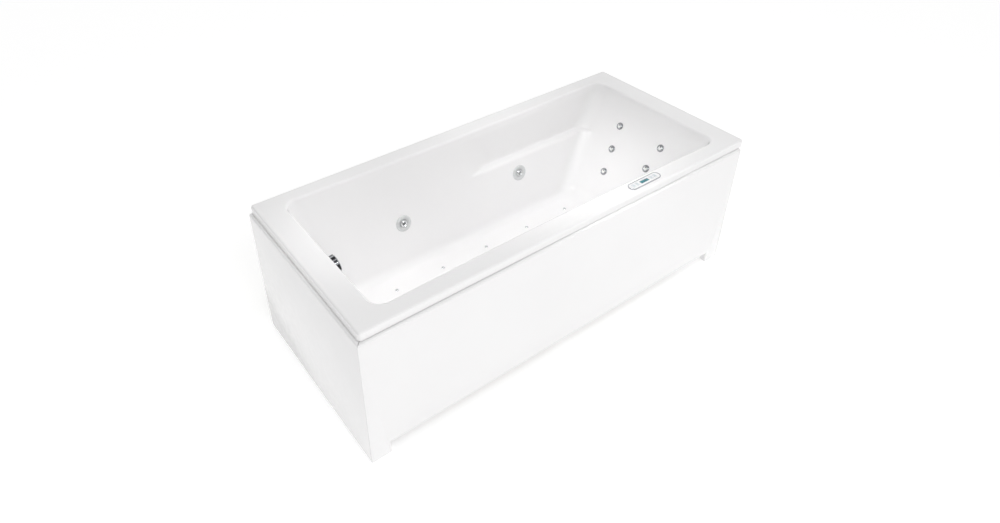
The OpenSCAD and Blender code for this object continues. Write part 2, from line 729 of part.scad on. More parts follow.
module suction_grille() color("silver") on_tub() on_side(grille_x, -1, grille_z) difference() {
    union() {
        cylinder(r1 = grille_r, r2 = grille_r - 6, h = 7);
        translate([0, 0, -wall_t - 14]) cylinder(r = suction_spigot_r, h = wall_t + 15);
    }
    translate([0, 0, -60]) cylinder(r = suction_spigot_r - 4, h = 63);
    for (r = [10, 18, 26], i = [0 : 11]) rotate(i * 30 + r) translate([r, 0, -1]) cylinder(r = 1.9, h = 20);
}

module suction_body() color("white") on_tub() difference() {
    union() {
        on_side(grille_x, -1, grille_z) translate([0, 0, -wall_t - 50])
            cylinder(r = suction_spigot_r + 4, h = 50);
        translate(suction_start - [suction_spigot_r + 22, 0, 0]) rotate([0, 90, 0])
            cylinder(r = suction_r + 3, h = suction_spigot_r + 22);
    }
    on_side(grille_x, -1, grille_z) translate([0, 0, -wall_t - 46])
        cylinder(r = suction_spigot_r + slip, h = 50);
    translate(suction_start - [suction_spigot_r, 0, 0]) rotate([0, 90, 0]) cylinder(r = suction_r, h = 80);
}

// ---- pump, pipes, air and control box ----

module suction_pipe() color("white") on_tub() {
    y = -wall_y(grille_z) - 66;
    pts = [suction_start - [16, 0, 0], suction_start + [70, 0, 0], [grille_x + 260, y, pump_z],
        [pump_x, y, pump_z], [pump_x, inlet_y + 14, pump_z]];
    pipe(route(pts, 30, 6), suction_r - slip, 2.5, 20);
}

module pump_motor() color("#3a3f44") on_tub() translate([pump_x, casing_y + casing_l, pump_z]) {
    difference() {
        rotate([-90, 0, 0]) union() {
            cylinder(r = motor_r - 4, h = motor_l);
            for (i = [0 : 11]) rotate(i * 30 + 15) translate([-2, 20, 4])
                cube([4, motor_r - 22, motor_l - 20]);
            translate([0, 0, motor_l - 28]) cylinder(r = motor_r, h = 28);
            cylinder(r = motor_r, h = 8);
        }
        rotate([-90, 0, 0]) translate([0, 0, -1]) cylinder(r = shaft_r + play, h = 61);
    }
    for (y = [12, motor_l - 40]) translate([-50, y, tray_z + tray_t - pump_z])
        cube([100, 24, motor_r * 0.5]);
    translate([-30, 50, motor_r - 8]) cube([60, 80, 30]);
}

module pump_casing() color("#2c2f33") on_tub() translate([pump_x, casing_y, pump_z]) difference() {
    union() {
        rotate([-90, 0, 0]) cylinder(r = casing_r, h = casing_l);
        rotate([90, 0, 0]) cylinder(r = suction_r + 2, h = casing_y - inlet_y);
        translate([riser_x - pump_x, casing_l / 2, 0]) cylinder(r = manifold_r + 2, h = outlet_up + 18);
        translate([-45, 8, tray_z + tray_t - pump_z]) cube([90, casing_l - 16, 20]);
    }
    translate([0, casing_wall, 0]) rotate([-90, 0, 0])
        cylinder(r = casing_r - casing_wall, h = casing_l - 2 * casing_wall);
    translate([0, casing_wall + 1, 0]) rotate([90, 0, 0]) cylinder(r = suction_r - 4, h = 60);
    translate([0, inlet_y - casing_y - 1, 0]) rotate([-90, 0, 0]) cylinder(r = suction_r, h = 17);
    translate([riser_x - pump_x, casing_l / 2, 0]) cylinder(r = manifold_r - 4, h = 150);
    translate([riser_x - pump_x, casing_l / 2, outlet_up - 6]) cylinder(r = manifold_r, h = 60);
    rotate([-90, 0, 0]) translate([0, 0, casing_l - 10]) cylinder(r = shaft_r + play, h = 20);
}

module pump_impeller() color("#c9ccd0") on_tub() translate([pump_x, casing_y, pump_z]) rotate([-90, 0, 0]) {
    disc_r = casing_r - casing_wall - 12;
    translate([0, 0, 28]) cylinder(r = disc_r, h = 3);
    translate([0, 0, 14]) cylinder(r = 14, h = 15);
    for (i = [0 : 5]) rotate(i * 60) translate([10, -1.5, 16]) cube([disc_r - 12, 3, 13]);
    translate([0, 0, 14]) cylinder(r = shaft_r, h = casing_l + 36);
}

module service_tray() color("silver") on_tub() {
    y0 = casing_y - tray_edge;
    y1 = box_y + box_w + 6;
    translate([tray_x0, y0, tray_z]) cube([tray_l, y1 - y0, tray_t]);
    for (x = [tray_x0, rail_x1 - 3]) translate([x, y0, tray_z - tray_edge])
        cube([3, -rail_y - tube / 2 - y0 - 1, tray_edge]);
}

module pressure_pipe() color("white") on_tub() {
    start = [riser_x, riser_y, pump_z + outlet_up - 4];
    tee = [riser_x, riser_y, manifold_z];
    x_end = side_jet_xs[0] - 30;
    front = [start, tee, [riser_x, -manifold_y, manifold_z], [x_end, -manifold_y, manifold_z]];
    back = [tee, [riser_x, manifold_y, manifold_z], [x_end, manifold_y, manifold_z]];
    pipe(route(front, 30, 6), manifold_r - slip, 2.5, 16, [1, 0, 0]);
    pipe(route(back, 30, 6), manifold_r - slip, 2.5, 16);
}

// A point behind the backrest, d away from its inner face
function behind(p, d) = [wall_x1(p[1]) + d * cos(head_a), p[0], p[1] - d * sin(head_a)];

module back_jet_pipes() color("white") on_tub() {
    d = back_body_l + back_pipe_r;
    for (s = [0, 1]) {
        top = behind(back_jet_spots[3 * s], d);
        low = behind(back_jet_spots[3 * s + 2], d);
        pts = [low + unit(low - top) * 14, top + unit(top - low) * 8, [riser_x, top[1], top[2] + 14],
            [riser_x, top[1], manifold_z + manifold_r - 1]];
        pipe(route(pts, 14, 4), back_pipe_r, 2, 12, [0, 1, 0]);
    }
}

module air_nozzles() color("gainsboro") on_tub()
    for (x = air_xs, s = [-1, 1]) translate([x, s * air_half, 0]) difference() {
        union() {
            translate([0, 0, floor_z]) cylinder(r1 = air_cap_r, r2 = air_cap_r - 1.5, h = air_cap_h);
            translate([0, 0, air_rail_z + air_rail_r - 3])
                cylinder(r = air_stem_r, h = under_z - air_rail_z - 2);
            translate([0, 0, under_z - 8]) cylinder(r = air_stem_r + 4, h = 8, $fn = 6);
        }
        translate([0, 0, air_rail_z]) cylinder(r = 1.5, h = 60);
    }

// The two rails and the thinner pipe that joins them at the head end
module air_runs(r, trim) translate([0, 0, air_rail_z]) {
    for (s = [-1, 1]) translate([air_xs[0] - 20 + trim, s * air_half, 0]) rotate([0, 90, 0])
        cylinder(r = r, h = air_end_x - air_xs[0] + 20 - 2 * trim);
    translate([air_end_x - air_rail_r, -air_half, 0]) rotate([-90, 0, 0])
        cylinder(r = r - 2.5, h = 2 * air_half);
}

module air_rails() color("white") on_tub() difference() {
    air_runs(air_rail_r, 0);
    air_runs(air_rail_r - 2, 2);
    for (x = air_xs, s = [-1, 1]) translate([x, s * air_half, air_rail_z + 1])
        cylinder(r = air_stem_r + slip, h = air_rail_r + 5);
}

module air_blower() color("#3a3f44") on_tub() translate([blower_x, blower_y, tray_z + tray_t]) difference() {
    union() {
        cylinder(r = blower_r, h = blower_h - 20);
        translate([0, 0, blower_h - 20]) cylinder(r1 = blower_r, r2 = blower_r - 14, h = 20);
        translate([0, 0, blower_port_h]) rotate([0, -90, 0]) cylinder(r = air_hose_r + 3, h = blower_r + 24);
        for (i = [0 : 3]) rotate(i * 90 + 45) translate([blower_r - 6, -9, 0]) cube([16, 18, 5]);
    }
    translate([0, 0, 4]) cylinder(r = blower_r - 4, h = blower_h - 28);
    translate([0, 0, blower_port_h]) rotate([0, -90, 0]) cylinder(r = air_hose_r, h = blower_r + 40);
}

module air_hose() color("lightgray") on_tub() {
    pts = [[blower_x - blower_r - 8, blower_y, blower_out_z], [tray_x0 - 50, blower_y, blower_out_z],
        [tray_x0 - 85, blower_y - 6, air_rail_z], [air_end_x - 1, blower_y - 6, air_rail_z]];
    pipe(route(pts, 26, 6), air_hose_r - slip, 2, 14, [0, 1, 0]);
}

module on_gland() translate([box_l - 2, box_w / 2, gland_z]) rotate([0, 90, 0]) children();

module control_box() color("gainsboro") on_tub() translate([tray_x0 + 20, box_y, tray_z + tray_t])
    difference() {
        union() {
            cube([box_l, box_w, box_h]);
            translate([-3, -2, box_h - 14]) cube([box_l + 6, box_w + 4, 14]);
            on_gland() cylinder(r = 9, h = gland_l + 2);
            on_gland() cylinder(r = 13, h = 8, $fn = 6);
        }
        translate([box_wall, box_wall, box_wall])
            cube([box_l - 2 * box_wall, box_w - 2 * box_wall, box_h - 2 * box_wall]);
        on_gland() translate([0, 0, -8]) cylinder(r = gland_bore, h = 60);
    }

// ---- keypad on the rim ----

module on_keypad() translate([keypad_x, keypad_y, rim_h]) children();

module key_plan(grow) square([key_w + 2 * grow, keypad_w - 2 * bezel_w - 12 + 2 * grow], center = true);

module keypad_bezel() color("silver") on_tub() on_keypad() difference() {
    stadium(keypad_l, keypad_w, keypad_h + 0.6);
    translate([0, 0, -1]) stadium(keypad_l - 2 * bezel_w, keypad_w - 2 * bezel_w, keypad_h + 3);
}

module keypad_face() color("white") on_tub() on_keypad() {
    difference() {
        stadium(keypad_l - 2 * bezel_w - 2 * slip, keypad_w - 2 * bezel_w - 2 * slip, keypad_h);
        for (x = key_xs) translate([x, 0, -1]) linear_extrude(keypad_h + 2) key_plan(play);
        translate([-lens_l / 2, -lens_w / 2, keypad_h - 1]) cube([lens_l, lens_w, 2]);
    }
    translate([0, 0, -12]) cylinder(r = key_stem_r, h = 13);
}

module keypad_lens() color("teal") on_tub() on_keypad()
    translate([slip - lens_l / 2, slip - lens_w / 2, keypad_h - 1])
        cube([lens_l - 2 * slip, lens_w - 2 * slip, 1.3]);

module key(i) color("lightgray") on_tub() on_keypad() translate([key_xs[i], 0, key_travel + 0.4])
    linear_extrude(keypad_h) key_plan(0);

tub_shell();
base_board();
front_panel();
end_panel();
panel_clips();
long_rails();
cross_beams();
rim_posts();
frame_bolts();
for (i = [1 : 5]) foot(i - 1);
drain_flange();
drain_plug();
drain_body();
drain_trap();
union_nuts();
waste_outlet();
waste_gaskets();
overflow_rosette();
overflow_knob();
overflow_body();
overflow_hose();
plug_cable();
side_jet_flanges();
for (i = [1 : 4]) side_jet_eye(i - 1);
side_jet_bodies();
for (i = [1 : 6]) back_jet_nozzle(i - 1);
back_jet_bodies();
suction_grille();
suction_body();
suction_pipe();
pump_motor();
pump_casing();
pump_impeller();
service_tray();
pressure_pipe();
back_jet_pipes();
air_nozzles();
air_rails();
air_blower();
air_hose();
control_box();
keypad_bezel();
keypad_face();
keypad_lens();
for (i = [1 : 4]) key(i - 1);
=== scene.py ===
# A rectangular hydromassage bath: an acrylic tub on a steel frame, with two panels,
# water jets, air nozzles, a pump, a blower and a pop-up waste.
import math
import bmesh
import bpy
from mathutils import Matrix, Vector


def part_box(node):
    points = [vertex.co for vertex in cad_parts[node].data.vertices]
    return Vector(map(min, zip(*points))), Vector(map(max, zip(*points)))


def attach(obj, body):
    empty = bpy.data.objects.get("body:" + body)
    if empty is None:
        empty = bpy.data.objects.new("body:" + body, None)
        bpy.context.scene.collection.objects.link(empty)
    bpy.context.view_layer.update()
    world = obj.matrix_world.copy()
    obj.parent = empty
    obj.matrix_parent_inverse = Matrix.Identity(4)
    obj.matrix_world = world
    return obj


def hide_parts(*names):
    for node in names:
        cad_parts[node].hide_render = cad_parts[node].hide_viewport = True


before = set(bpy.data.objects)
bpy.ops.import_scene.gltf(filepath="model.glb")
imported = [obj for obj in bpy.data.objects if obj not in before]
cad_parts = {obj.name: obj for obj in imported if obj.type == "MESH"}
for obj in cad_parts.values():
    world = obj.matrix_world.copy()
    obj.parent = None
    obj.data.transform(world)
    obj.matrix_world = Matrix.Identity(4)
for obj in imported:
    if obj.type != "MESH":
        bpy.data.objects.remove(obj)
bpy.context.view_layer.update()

# ---- Camera ----
# It looks down over the foot end and the front panel, from a little above head
# height, through a wide lens.
azimuth, elevation, roll = (math.radians(a) for a in (-34.8264, 34.6098, -1.2649))
distance = 3.1229
target = Vector((0.0302, 0.4273, 0.28))
back = Vector((math.sin(azimuth) * math.cos(elevation),
               -math.cos(azimuth) * math.cos(elevation), math.sin(elevation)))
right = Vector((math.cos(azimuth), math.sin(azimuth), 0))
up = back.cross(right)
turned_right = right * math.cos(roll) + up * math.sin(roll)
turned_up = up * math.cos(roll) - right * math.sin(roll)
lens = bpy.data.cameras.new("camera")
lens.sensor_width = 36
lens.lens = 26.34
lens.shift_x, lens.shift_y = 0.05, -0.0815
camera = bpy.data.objects.new("camera", lens)
camera.matrix_world = (Matrix.Translation(target + back * distance)
                       @ Matrix((turned_right, turned_up, back)).transposed().to_4x4())
bpy.context.scene.collection.objects.link(camera)
bpy.context.scene.camera = camera


# ---- Studio ----
# A white sweep of floor under a pale sky that is dimmer towards the foot end. One wide
# softbox stands in front, to the left, and three smaller ones fill the panel and basin.
class Reading:
    """A shader socket that takes part in sums as a number does."""

    def __init__(self, finish, socket):
        self.finish, self.socket = finish, socket

    def reckon(self, operation, a, b):
        return self.finish.node("ShaderNodeMath", {"operation": operation}, {0: a, 1: b})

    def __add__(self, other):
        return self.reckon("ADD", self, other)

    def __mul__(self, other):
        return self.reckon("MULTIPLY", self, other)

    __radd__, __rmul__ = __add__, __mul__


class Finish:
    """A material: its shader's constants are set first, and what varies is fed after."""

    def __init__(self, name, constants):
        self.material = bpy.data.materials.new(name)
        self.material.use_nodes = True
        self.tree = self.material.node_tree
        self.shader = self.tree.nodes["Principled BSDF"]
        for socket, value in constants.items():
            self.shader.inputs[socket].default_value = value

    def node(self, kind, settings, feeds, out=0):
        node = self.tree.nodes.new(kind)
        for name, value in settings.items():
            if name == "stops":
                first, last = value[0], value[-1]
                node.color_ramp.elements[0].position = first[0]
                node.color_ramp.elements[0].color = first[1]
                node.color_ramp.elements[-1].position = last[0]
                node.color_ramp.elements[-1].color = last[1]
                for place, colour in value[1:-1]:
                    node.color_ramp.elements.new(place).color = colour
            else:
                setattr(node, name, value)
        for name, value in feeds.items():
            self.feed(node.inputs[name], value)
        return Reading(self, node.outputs[out])

    def feed(self, socket, value):
        if isinstance(value, Reading):
            self.tree.links.new(value.socket, socket)
        else:
            socket.default_value = value

    def place(self):
        return self.node("ShaderNodeTexCoord", {}, {}, "Object")

    def stretched(self, scale):
        return self.node("ShaderNodeMapping", {}, {"Vector": self.place(), "Scale": scale})

    def noise(self, scale, detail=2.0, place=None):
        return self.node("ShaderNodeTexNoise", {},
                         {"Vector": place or self.place(), "Scale": scale, "Detail": detail})

    def cells(self, scale, out="Distance", place=None):
        return self.node("ShaderNodeTexVoronoi", {},
                         {"Vector": place or self.place(), "Scale": scale}, out)

    def ramp(self, share, *stops):
        return self.node("ShaderNodeValToRGB", {"stops": stops}, {"Fac": share}, "Color")

    def between(self, share, low, high):
        """Spreads a pattern's middle readings, from 0.3 to 0.7, over low to high."""
        return self.node("ShaderNodeMapRange", {}, {"Value": share, "From Min": 0.3,
                         "From Max": 0.7, "To Min": low, "To Max": high})

    def mix(self, share, a, b):
        return self.node("ShaderNodeMix", {"data_type": "RGBA"}, {0: share, 6: a, 7: b}, 2)

    def paint(self, colour=None, roughness=None):
        for name, value in (("Base Color", colour), ("Roughness", roughness)):
            if value is not None:
                self.feed(self.shader.inputs[name], value)

    def mottle(self, blotches, dark, light, sheen, smoothest, roughest):
        """Varies the colour by one pattern, and the roughness by another."""
        self.paint(self.mix(self.between(blotches, 0.0, 1.0), (*dark, 1.0), (*light, 1.0)),
                   self.between(sheen, smoothest, roughest))

    def raise_by(self, height, distance, strength=1.0):
        self.feed(self.shader.inputs["Normal"],
                  self.node("ShaderNodeBump", {}, {"Strength": strength, "Distance": distance,
                                                   "Height": height}, "Normal"))


def grey(value):
    return (value, value, value, 1.0)


floor_bm = bmesh.new()
bmesh.ops.create_grid(floor_bm, x_segments=1, y_segments=1, size=30)
floor_mesh = bpy.data.meshes.new("floor")
floor_bm.to_mesh(floor_mesh)
floor_bm.free()
floor = bpy.data.objects.new("floor", floor_mesh)
bpy.context.scene.collection.objects.link(floor)
sweep = Finish("white_sweep", {"Base Color": grey(0.93), "Specular IOR Level": 0.0,
                               "Emission Color": grey(1.0), "Emission Strength": 0.35})
sweep.paint(roughness=sweep.between(sweep.noise(3.0), 0.75, 0.9))
floor_mesh.materials.append(sweep.material)

sky_level, sky_slant = 0.68, (0.3, 0.05, 0.0)
world = bpy.data.worlds.new("white_room")
world.use_nodes = True
sky = world.node_tree.nodes["Background"]
sky.inputs["Color"].default_value = grey(1.0)
way_out = world.node_tree.nodes.new("ShaderNodeTexCoord")
slant = world.node_tree.nodes.new("ShaderNodeVectorMath")
slant.operation = "DOT_PRODUCT"
slant.inputs[1].default_value = sky_slant
level = world.node_tree.nodes.new("ShaderNodeMath")
level.operation = "ADD"
level.inputs[1].default_value = sky_level
world.node_tree.links.new(way_out.outputs["Generated"], slant.inputs[0])
world.node_tree.links.new(slant.outputs["Value"], level.inputs[0])
world.node_tree.links.new(level.outputs[0], sky.inputs["Strength"])
bpy.context.scene.world = world
bpy.context.scene.view_settings.view_transform = "Standard"


def softbox(name, place, aim, width, height, power, spread=180):
    """A lit panel at a place in metres, turned to face its aim, of a power in watts."""
    lamp = bpy.data.lights.new(name, "AREA")
    lamp.shape, lamp.spread = "RECTANGLE", math.radians(spread)
    lamp.size, lamp.size_y, lamp.energy = width, height, power
    box = bpy.data.objects.new(name, lamp)
    way = Vector(place) - Vector(aim)
    box.matrix_world = Matrix.Translation(place) @ way.to_track_quat("Z", "Y").to_matrix().to_4x4()
    bpy.context.scene.collection.objects.link(box)


softbox("softbox_left", (-1.1, -1.9, 2.4), (-0.3, 0.0, 0.4), 1.4, 1.2, 15)
softbox("softbox_strip", (1.3, -1.45, 2.1), (0.1, 0.15, 0.4), 2.6, 0.5, 3)
softbox("softbox_head", (-1.0, -0.25, 1.9), (0.5, 0.0, 0.35), 0.9, 0.4, 0.62, 26)
softbox("softbox_basin", (-0.25, -0.2, 1.7), (-0.2, 0.03, 0.3), 1.2, 0.4, 0.6, 28)

# ---- Tub ----
# One sheet of white sanitary acrylic, drawn over a mould in a vacuum and backed
# with glass fibre. Its rim, basin, armrests and backrest are a single skin.
tub_l, tub_w, rim_h, lip_h, wall_t = 1700, 750, 565, 30, 6
rim_r, rim_edge, basin_edge = 12, 7, 10
foot_x, head_x, side_y = -757, 757, 310
floor_z, low_z, drop_z, ledge_z = 135, 175, 540, 385
foot_a, side_a, head_a = (math.atan2(*run) for run in ((65, 390), (93, 390), (219, 365)))
fillets = {"foot": 50, "side": 40, "head": 90}
corner_top, corner_spread, corner_draw = 45, 25, 24
bow_out, bow_in, bow_z = 4, 11, 400
arm_wall_y, arm_wall_z, arm_lean_y, arm_lean_z = 300, 395, 4.3, 146
arm_x, arm_h, arm_before, arm_after = 60, 156, 55, 75
arm_steps = ((371, 0.0), (376, 0.03), (379, 0.10), (381.5, 0.25), (383.3, 0.5), (384.3, 0.72),
             (385.6, 0.85), (388.5, 0.93), (393, 0.98), (400, 1.0))
tub_low, tub_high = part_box("tub_shell")
tub_middle = ((tub_low[0] + tub_high[0]) / 2, (tub_low[1] + tub_high[1]) / 2, 0)
tub_place = Matrix.Translation(tub_middle) @ Matrix.Scale(0.001, 4)


def smooth(x, low, high):
    """Goes from 0 to 1 with x, gently at both ends."""
    t = min(1.0, max(0.0, (x - low) / (high - low)))
    return t * t * (3 - 2 * t)


def wall_y(z):
    return side_y - (rim_h - z) * math.tan(side_a)


def wall_x0(z):
    return foot_x + (rim_h - z) * math.tan(foot_a)


def wall_x1(z):
    drop, blend = drop_z - z, 25
    fall = 0 if drop < -blend else drop if drop > blend else (drop + blend) ** 2 / (4 * blend)
    return head_x - fall * math.tan(head_a)


def rounded_in(z, lean, radius, wall):
    """A wall's distance out at height z, with its round to the floor."""
    centre_z = floor_z + radius
    if z >= centre_z - radius * math.sin(lean):
        return wall(z)
    sign = 1 if wall(rim_h) > 0 else -1
    out = math.sqrt(max(0.0, radius ** 2 - (centre_z - z) ** 2)) - radius / math.cos(lean)
    return wall(centre_z) + sign * out


def armrest(x, z):
    """How far the recess over an armrest goes beyond the plain side wall."""
    if z < arm_steps[0][0]:
        return 0.0
    deep = arm_wall_y + (z - arm_wall_z) * arm_lean_y / arm_lean_z
    share = 1.0
    for (z0, s0), (z1, s1) in zip(arm_steps, arm_steps[1:]):
        if z0 <= z <= z1:
            share = s0 + (s1 - s0) * (z - z0) / (z1 - z0)
    start = arm_x - arm_x * (z - ledge_z) / arm_h
    return max(0.0, deep - wall_y(z)) * share * smooth(x, start - arm_before, start + arm_after)


def basin_y(x, z):
    """How far out a side wall is, with its armrest and the slight bow of its top."""
    bow = smooth(z, bow_z, rim_h) * (bow_out - bow_in * (1 - (x / head_x) ** 2))
    return rounded_in(z, side_a, fillets["side"], wall_y) + armrest(x, z) + bow


def basin_ring(z, grow=0.0, lift=0.0):
    """The basin's outline at height z: two ends, its sides, its corner radius, its height."""
    deep = max(0.0, low_z - z) / (low_z - floor_z)
    radius = (corner_top + corner_spread * min(1.0, (rim_h - z) / (rim_h - low_z))
              - corner_draw * (1 - math.sqrt(1 - deep ** 2)) + grow)
    return (rounded_in(z, foot_a, fillets["foot"], wall_x0) - grow,
            rounded_in(z, head_a, fillets["head"], wall_x1) + grow,
            lambda x: basin_y(x, z) + grow, radius, z + lift)


def rim_ring(shrink, z):
    return (-tub_l / 2 + shrink, tub_l / 2 - shrink, lambda x: tub_w / 2 - shrink,
            max(3.0, rim_r - shrink), z)


def round_steps(count):
    return [math.radians(90 * i / count) for i in range(1, count)]


rings = [rim_ring(0, z) for z in (rim_h - lip_h, rim_h - lip_h + 2, rim_h - rim_edge - 1)]
rings += [rim_ring(rim_edge * (1 - math.cos(a)), rim_h - rim_edge + rim_edge * math.sin(a))
          for a in [0] + round_steps(6)]
rings += [rim_ring(rim_edge, rim_h), rim_ring(rim_edge + 3, rim_h)]
edge_z = rim_h - basin_edge
rings += [basin_ring(edge_z, grow, basin_edge) for grow in (basin_edge + 3, basin_edge)]
rings += [basin_ring(edge_z, basin_edge * (1 - math.cos(a)), basin_edge * math.sin(a))
          for a in reversed(round_steps(6))]
rings += [basin_ring(z) for z in (
    555, 551, 545, 537, 529, 521, 512, 500, 485, 468, 450, 432, 418, 408, 400, 396, 393, 390.5,
    388.5, 387, 385.6, 384.9, 384.3, 383.8, 383.3, 382.4, 381.5, 380.2, 379, 376, 371, 360, 340,
    315, 290, 265, 240, 218, 200, 190, 183)]
rings += [basin_ring(floor_z + 90 * (1 - math.cos(math.radians(a))))
          for a in (58, 54, 49, 44, 39, 34, 29, 24, 19, 14, 9, 5, 0)]
rings += [basin_ring(floor_z, -4)]

long_steps, short_steps, corner_steps = 104, 40, 12
laps = []
for side, count in (("back", long_steps), ("foot_back", corner_steps), ("foot", short_steps),
                    ("foot_front", corner_steps), ("front", long_steps),
                    ("head_front", corner_steps), ("head", short_steps),
                    ("head_back", corner_steps)):
    laps += [(side, i / count) for i in range(count)]


def lap_point(ring, lap):
    """Where a point at some share of one side lies on a rounded rectangle."""
    x0, x1, y_at, r, z = ring
    side, t = lap
    xa, xb = x0 + r, x1 - r
    if side == "back":
        x = xb + (xa - xb) * t
        return Vector((x, y_at(x), z))
    if side == "front":
        x = xa + (xb - xa) * t
        return Vector((x, -y_at(x), z))
    if side == "foot":
        return Vector((x0, (y_at(xa) - r) * (1 - 2 * t), z))
    if side == "head":
        return Vector((x1, (y_at(xb) - r) * (2 * t - 1), z))
    start = {"foot_back": 90, "foot_front": 180, "head_front": 270, "head_back": 0}[side]
    angle = math.radians(start + 90 * t)
    cx = xa if side.startswith("foot") else xb
    cy = (y_at(cx) - r) * (1 if side.endswith("back") else -1)
    return Vector((cx + r * math.cos(angle), cy + r * math.sin(angle), z))


def hull_of_rings(rings):
    """Draws one skin through the rings, and closes the last of them."""
    bm = bmesh.new()
    lap_at = bm.verts.layers.int.new("lap")
    verts = bmesh.ops.create_circle(bm, cap_ends=False, segments=len(laps), radius=1)["verts"]
    for i, vert in enumerate(verts):
        vert[lap_at] = i
        vert.co = lap_point(rings[0], laps[i])
    edges = list(bm.edges)
    for ring in rings[1:]:
        made = bmesh.ops.extrude_edge_only(bm, edges=edges)["geom"]
        fresh = {g for g in made if isinstance(g, bmesh.types.BMVert)}
        for vert in fresh:
            vert.co = lap_point(ring, laps[vert[lap_at]])
        edges = [g for g in made if isinstance(g, bmesh.types.BMEdge)
                 and g.verts[0] in fresh and g.verts[1] in fresh]
    bmesh.ops.contextual_create(bm, geom=edges)
    bm.faces.ensure_lookup_table()
    bottom = max(bm.faces, key=lambda f: len(f.verts))
    bottom.normal_update()
    if bottom.normal.z < 0:
        bmesh.ops.reverse_faces(bm, faces=bm.faces)
    return bm


def finish_piece(name, bm, body, nodes, finishes, sharp=35, modifiers=(), cutter=None,
                 uncut=None):
    """Sets a piece down in the bath's place with its materials, and fixes it to its body.

    What the cutter must leave alone is given as uncut, and joins the piece afterwards.
    """
    if cutter:
        modifiers = [*modifiers, ("BOOLEAN", {"object": cutter, "solver": "EXACT"})]
    bm.transform(tub_place)
    mesh = bpy.data.meshes.new(name)
    bm.to_mesh(mesh)
    bm.free()
    for finish in finishes:
        mesh.materials.append(finish.material)
    piece = bpy.data.objects.new(name, mesh)
    bpy.context.scene.collection.objects.link(piece)
    for kind, settings in modifiers:
        modifier = piece.modifiers.new(kind.title(), kind)
        for key, value in settings.items():
            setattr(modifier, key, value)
    if modifiers:
        bpy.context.view_layer.update()
        graph = bpy.context.evaluated_depsgraph_get()
        piece.data = bpy.data.meshes.new_from_object(piece.evaluated_get(graph))
        piece.modifiers.clear()
    if cutter:
        bpy.data.objects.remove(cutter)
    if uncut:
        uncut.transform(tub_place)
        uncut.from_mesh(piece.data)
        uncut.to_mesh(piece.data)
        uncut.free()
    piece.data.shade_smooth()
    piece.data.set_sharp_from_angle(angle=math.radians(sharp))
    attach(piece, body)
    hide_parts(*nodes)


def cutter_from(bm):
    """An object for another piece to be cut by. It goes when that piece is finished."""
    mesh = bpy.data.meshes.new("cutter")
    bm.to_mesh(mesh)
    bm.free()
    cutter = bpy.data.objects.new("cutter", mesh)
    bpy.context.scene.collection.objects.link(cutter)
    return cutter


def drills(holes):
    """Round cutters, one for each (place, radius)."""
    bm = bmesh.new()
    for place, radius in holes:
        made = bmesh.ops.create_cone(bm, cap_ends=True, segments=64, radius1=radius,
                                     radius2=radius, depth=60)
        bmesh.ops.transform(bm, matrix=tub_place @ place, verts=made["verts"])
    return cutter_from(bm)


def at(x, y, z):
    return Matrix.Translation((x, y, z))


def on_side(x, side, z):
    return at(x, side * wall_y(z), z) @ Matrix.Rotation(side * (math.pi / 2 - side_a), 4, "X")


def on_foot(z):
    return at(wall_x0(z), 0, z) @ Matrix.Rotation(math.pi / 2 - foot_a, 4, "Y")


def on_back(y, z):
    return at(wall_x1(z), y, z) @ Matrix.Rotation(head_a - math.pi / 2, 4, "Y")


drain_x, overflow_z, grille_x, grille_z = -570, 495, -28, 232
side_jet_z, side_jet_spots = 314, [(x, s) for s in (1, -1) for x in (-318, 262)]
back_jet_spots = [(s * (112 - 16 * i), 449 - 87 * i) for s in (1, -1) for i in range(3)]
air_spots = [(-15 + 215 * i, s * 116) for i in range(-2, 3) for s in (-1, 1)]

acrylic = Finish("white_acrylic", {"Coat Weight": 0.35, "Coat Roughness": 0.05, "IOR": 1.49})
acrylic.mottle(acrylic.noise(2.2, 3.0), (0.892, 0.886, 0.888), (0.912, 0.907, 0.909),
               acrylic.noise(34.0, 4.0), 0.13, 0.21)
acrylic.raise_by(acrylic.noise(26.0, 1.0), 0.00006, 0.5)

fibreglass = Finish("fibreglass_backing", {"IOR": 1.5})
strands = fibreglass.noise(210.0, 3.0, fibreglass.stretched((1.0, 0.25, 1.0)))
crossing = fibreglass.noise(190.0, 3.0, fibreglass.stretched((0.25, 1.0, 1.0)))
mat = strands * 0.5 + crossing * 0.5
resin, glass = (0.62, 0.60, 0.50, 1), (0.80, 0.79, 0.72, 1)
fibreglass.paint(fibreglass.ramp(mat, (0.35, resin), (0.65, glass)),
                 fibreglass.between(mat, 0.35, 0.65))
fibreglass.raise_by(mat + fibreglass.noise(24.0) * 0.6, 0.0012)

drain_bore, overflow_bore, grille_bore = 26, 22, 34.1
side_jet_bore, back_jet_bore, air_bore = 25.1, 10.1, 4.1
holes = ([(at(drain_x, 0, floor_z), drain_bore), (on_foot(overflow_z), overflow_bore),
          (on_side(grille_x, -1, grille_z), grille_bore)]
         + [(on_side(x, s, side_jet_z), side_jet_bore) for x, s in side_jet_spots]
         + [(on_back(y, z), back_jet_bore) for y, z in back_jet_spots]
         + [(at(x, y, floor_z), air_bore) for x, y in air_spots])
finish_piece("tub", hull_of_rings(rings), "tub", ["tub_shell"], [acrylic, fibreglass],
             modifiers=[("SOLIDIFY", {"thickness": wall_t / 1000, "offset": -1,
                                      "material_offset": 1, "use_quality_normals": True})],
             cutter=drills(holes))

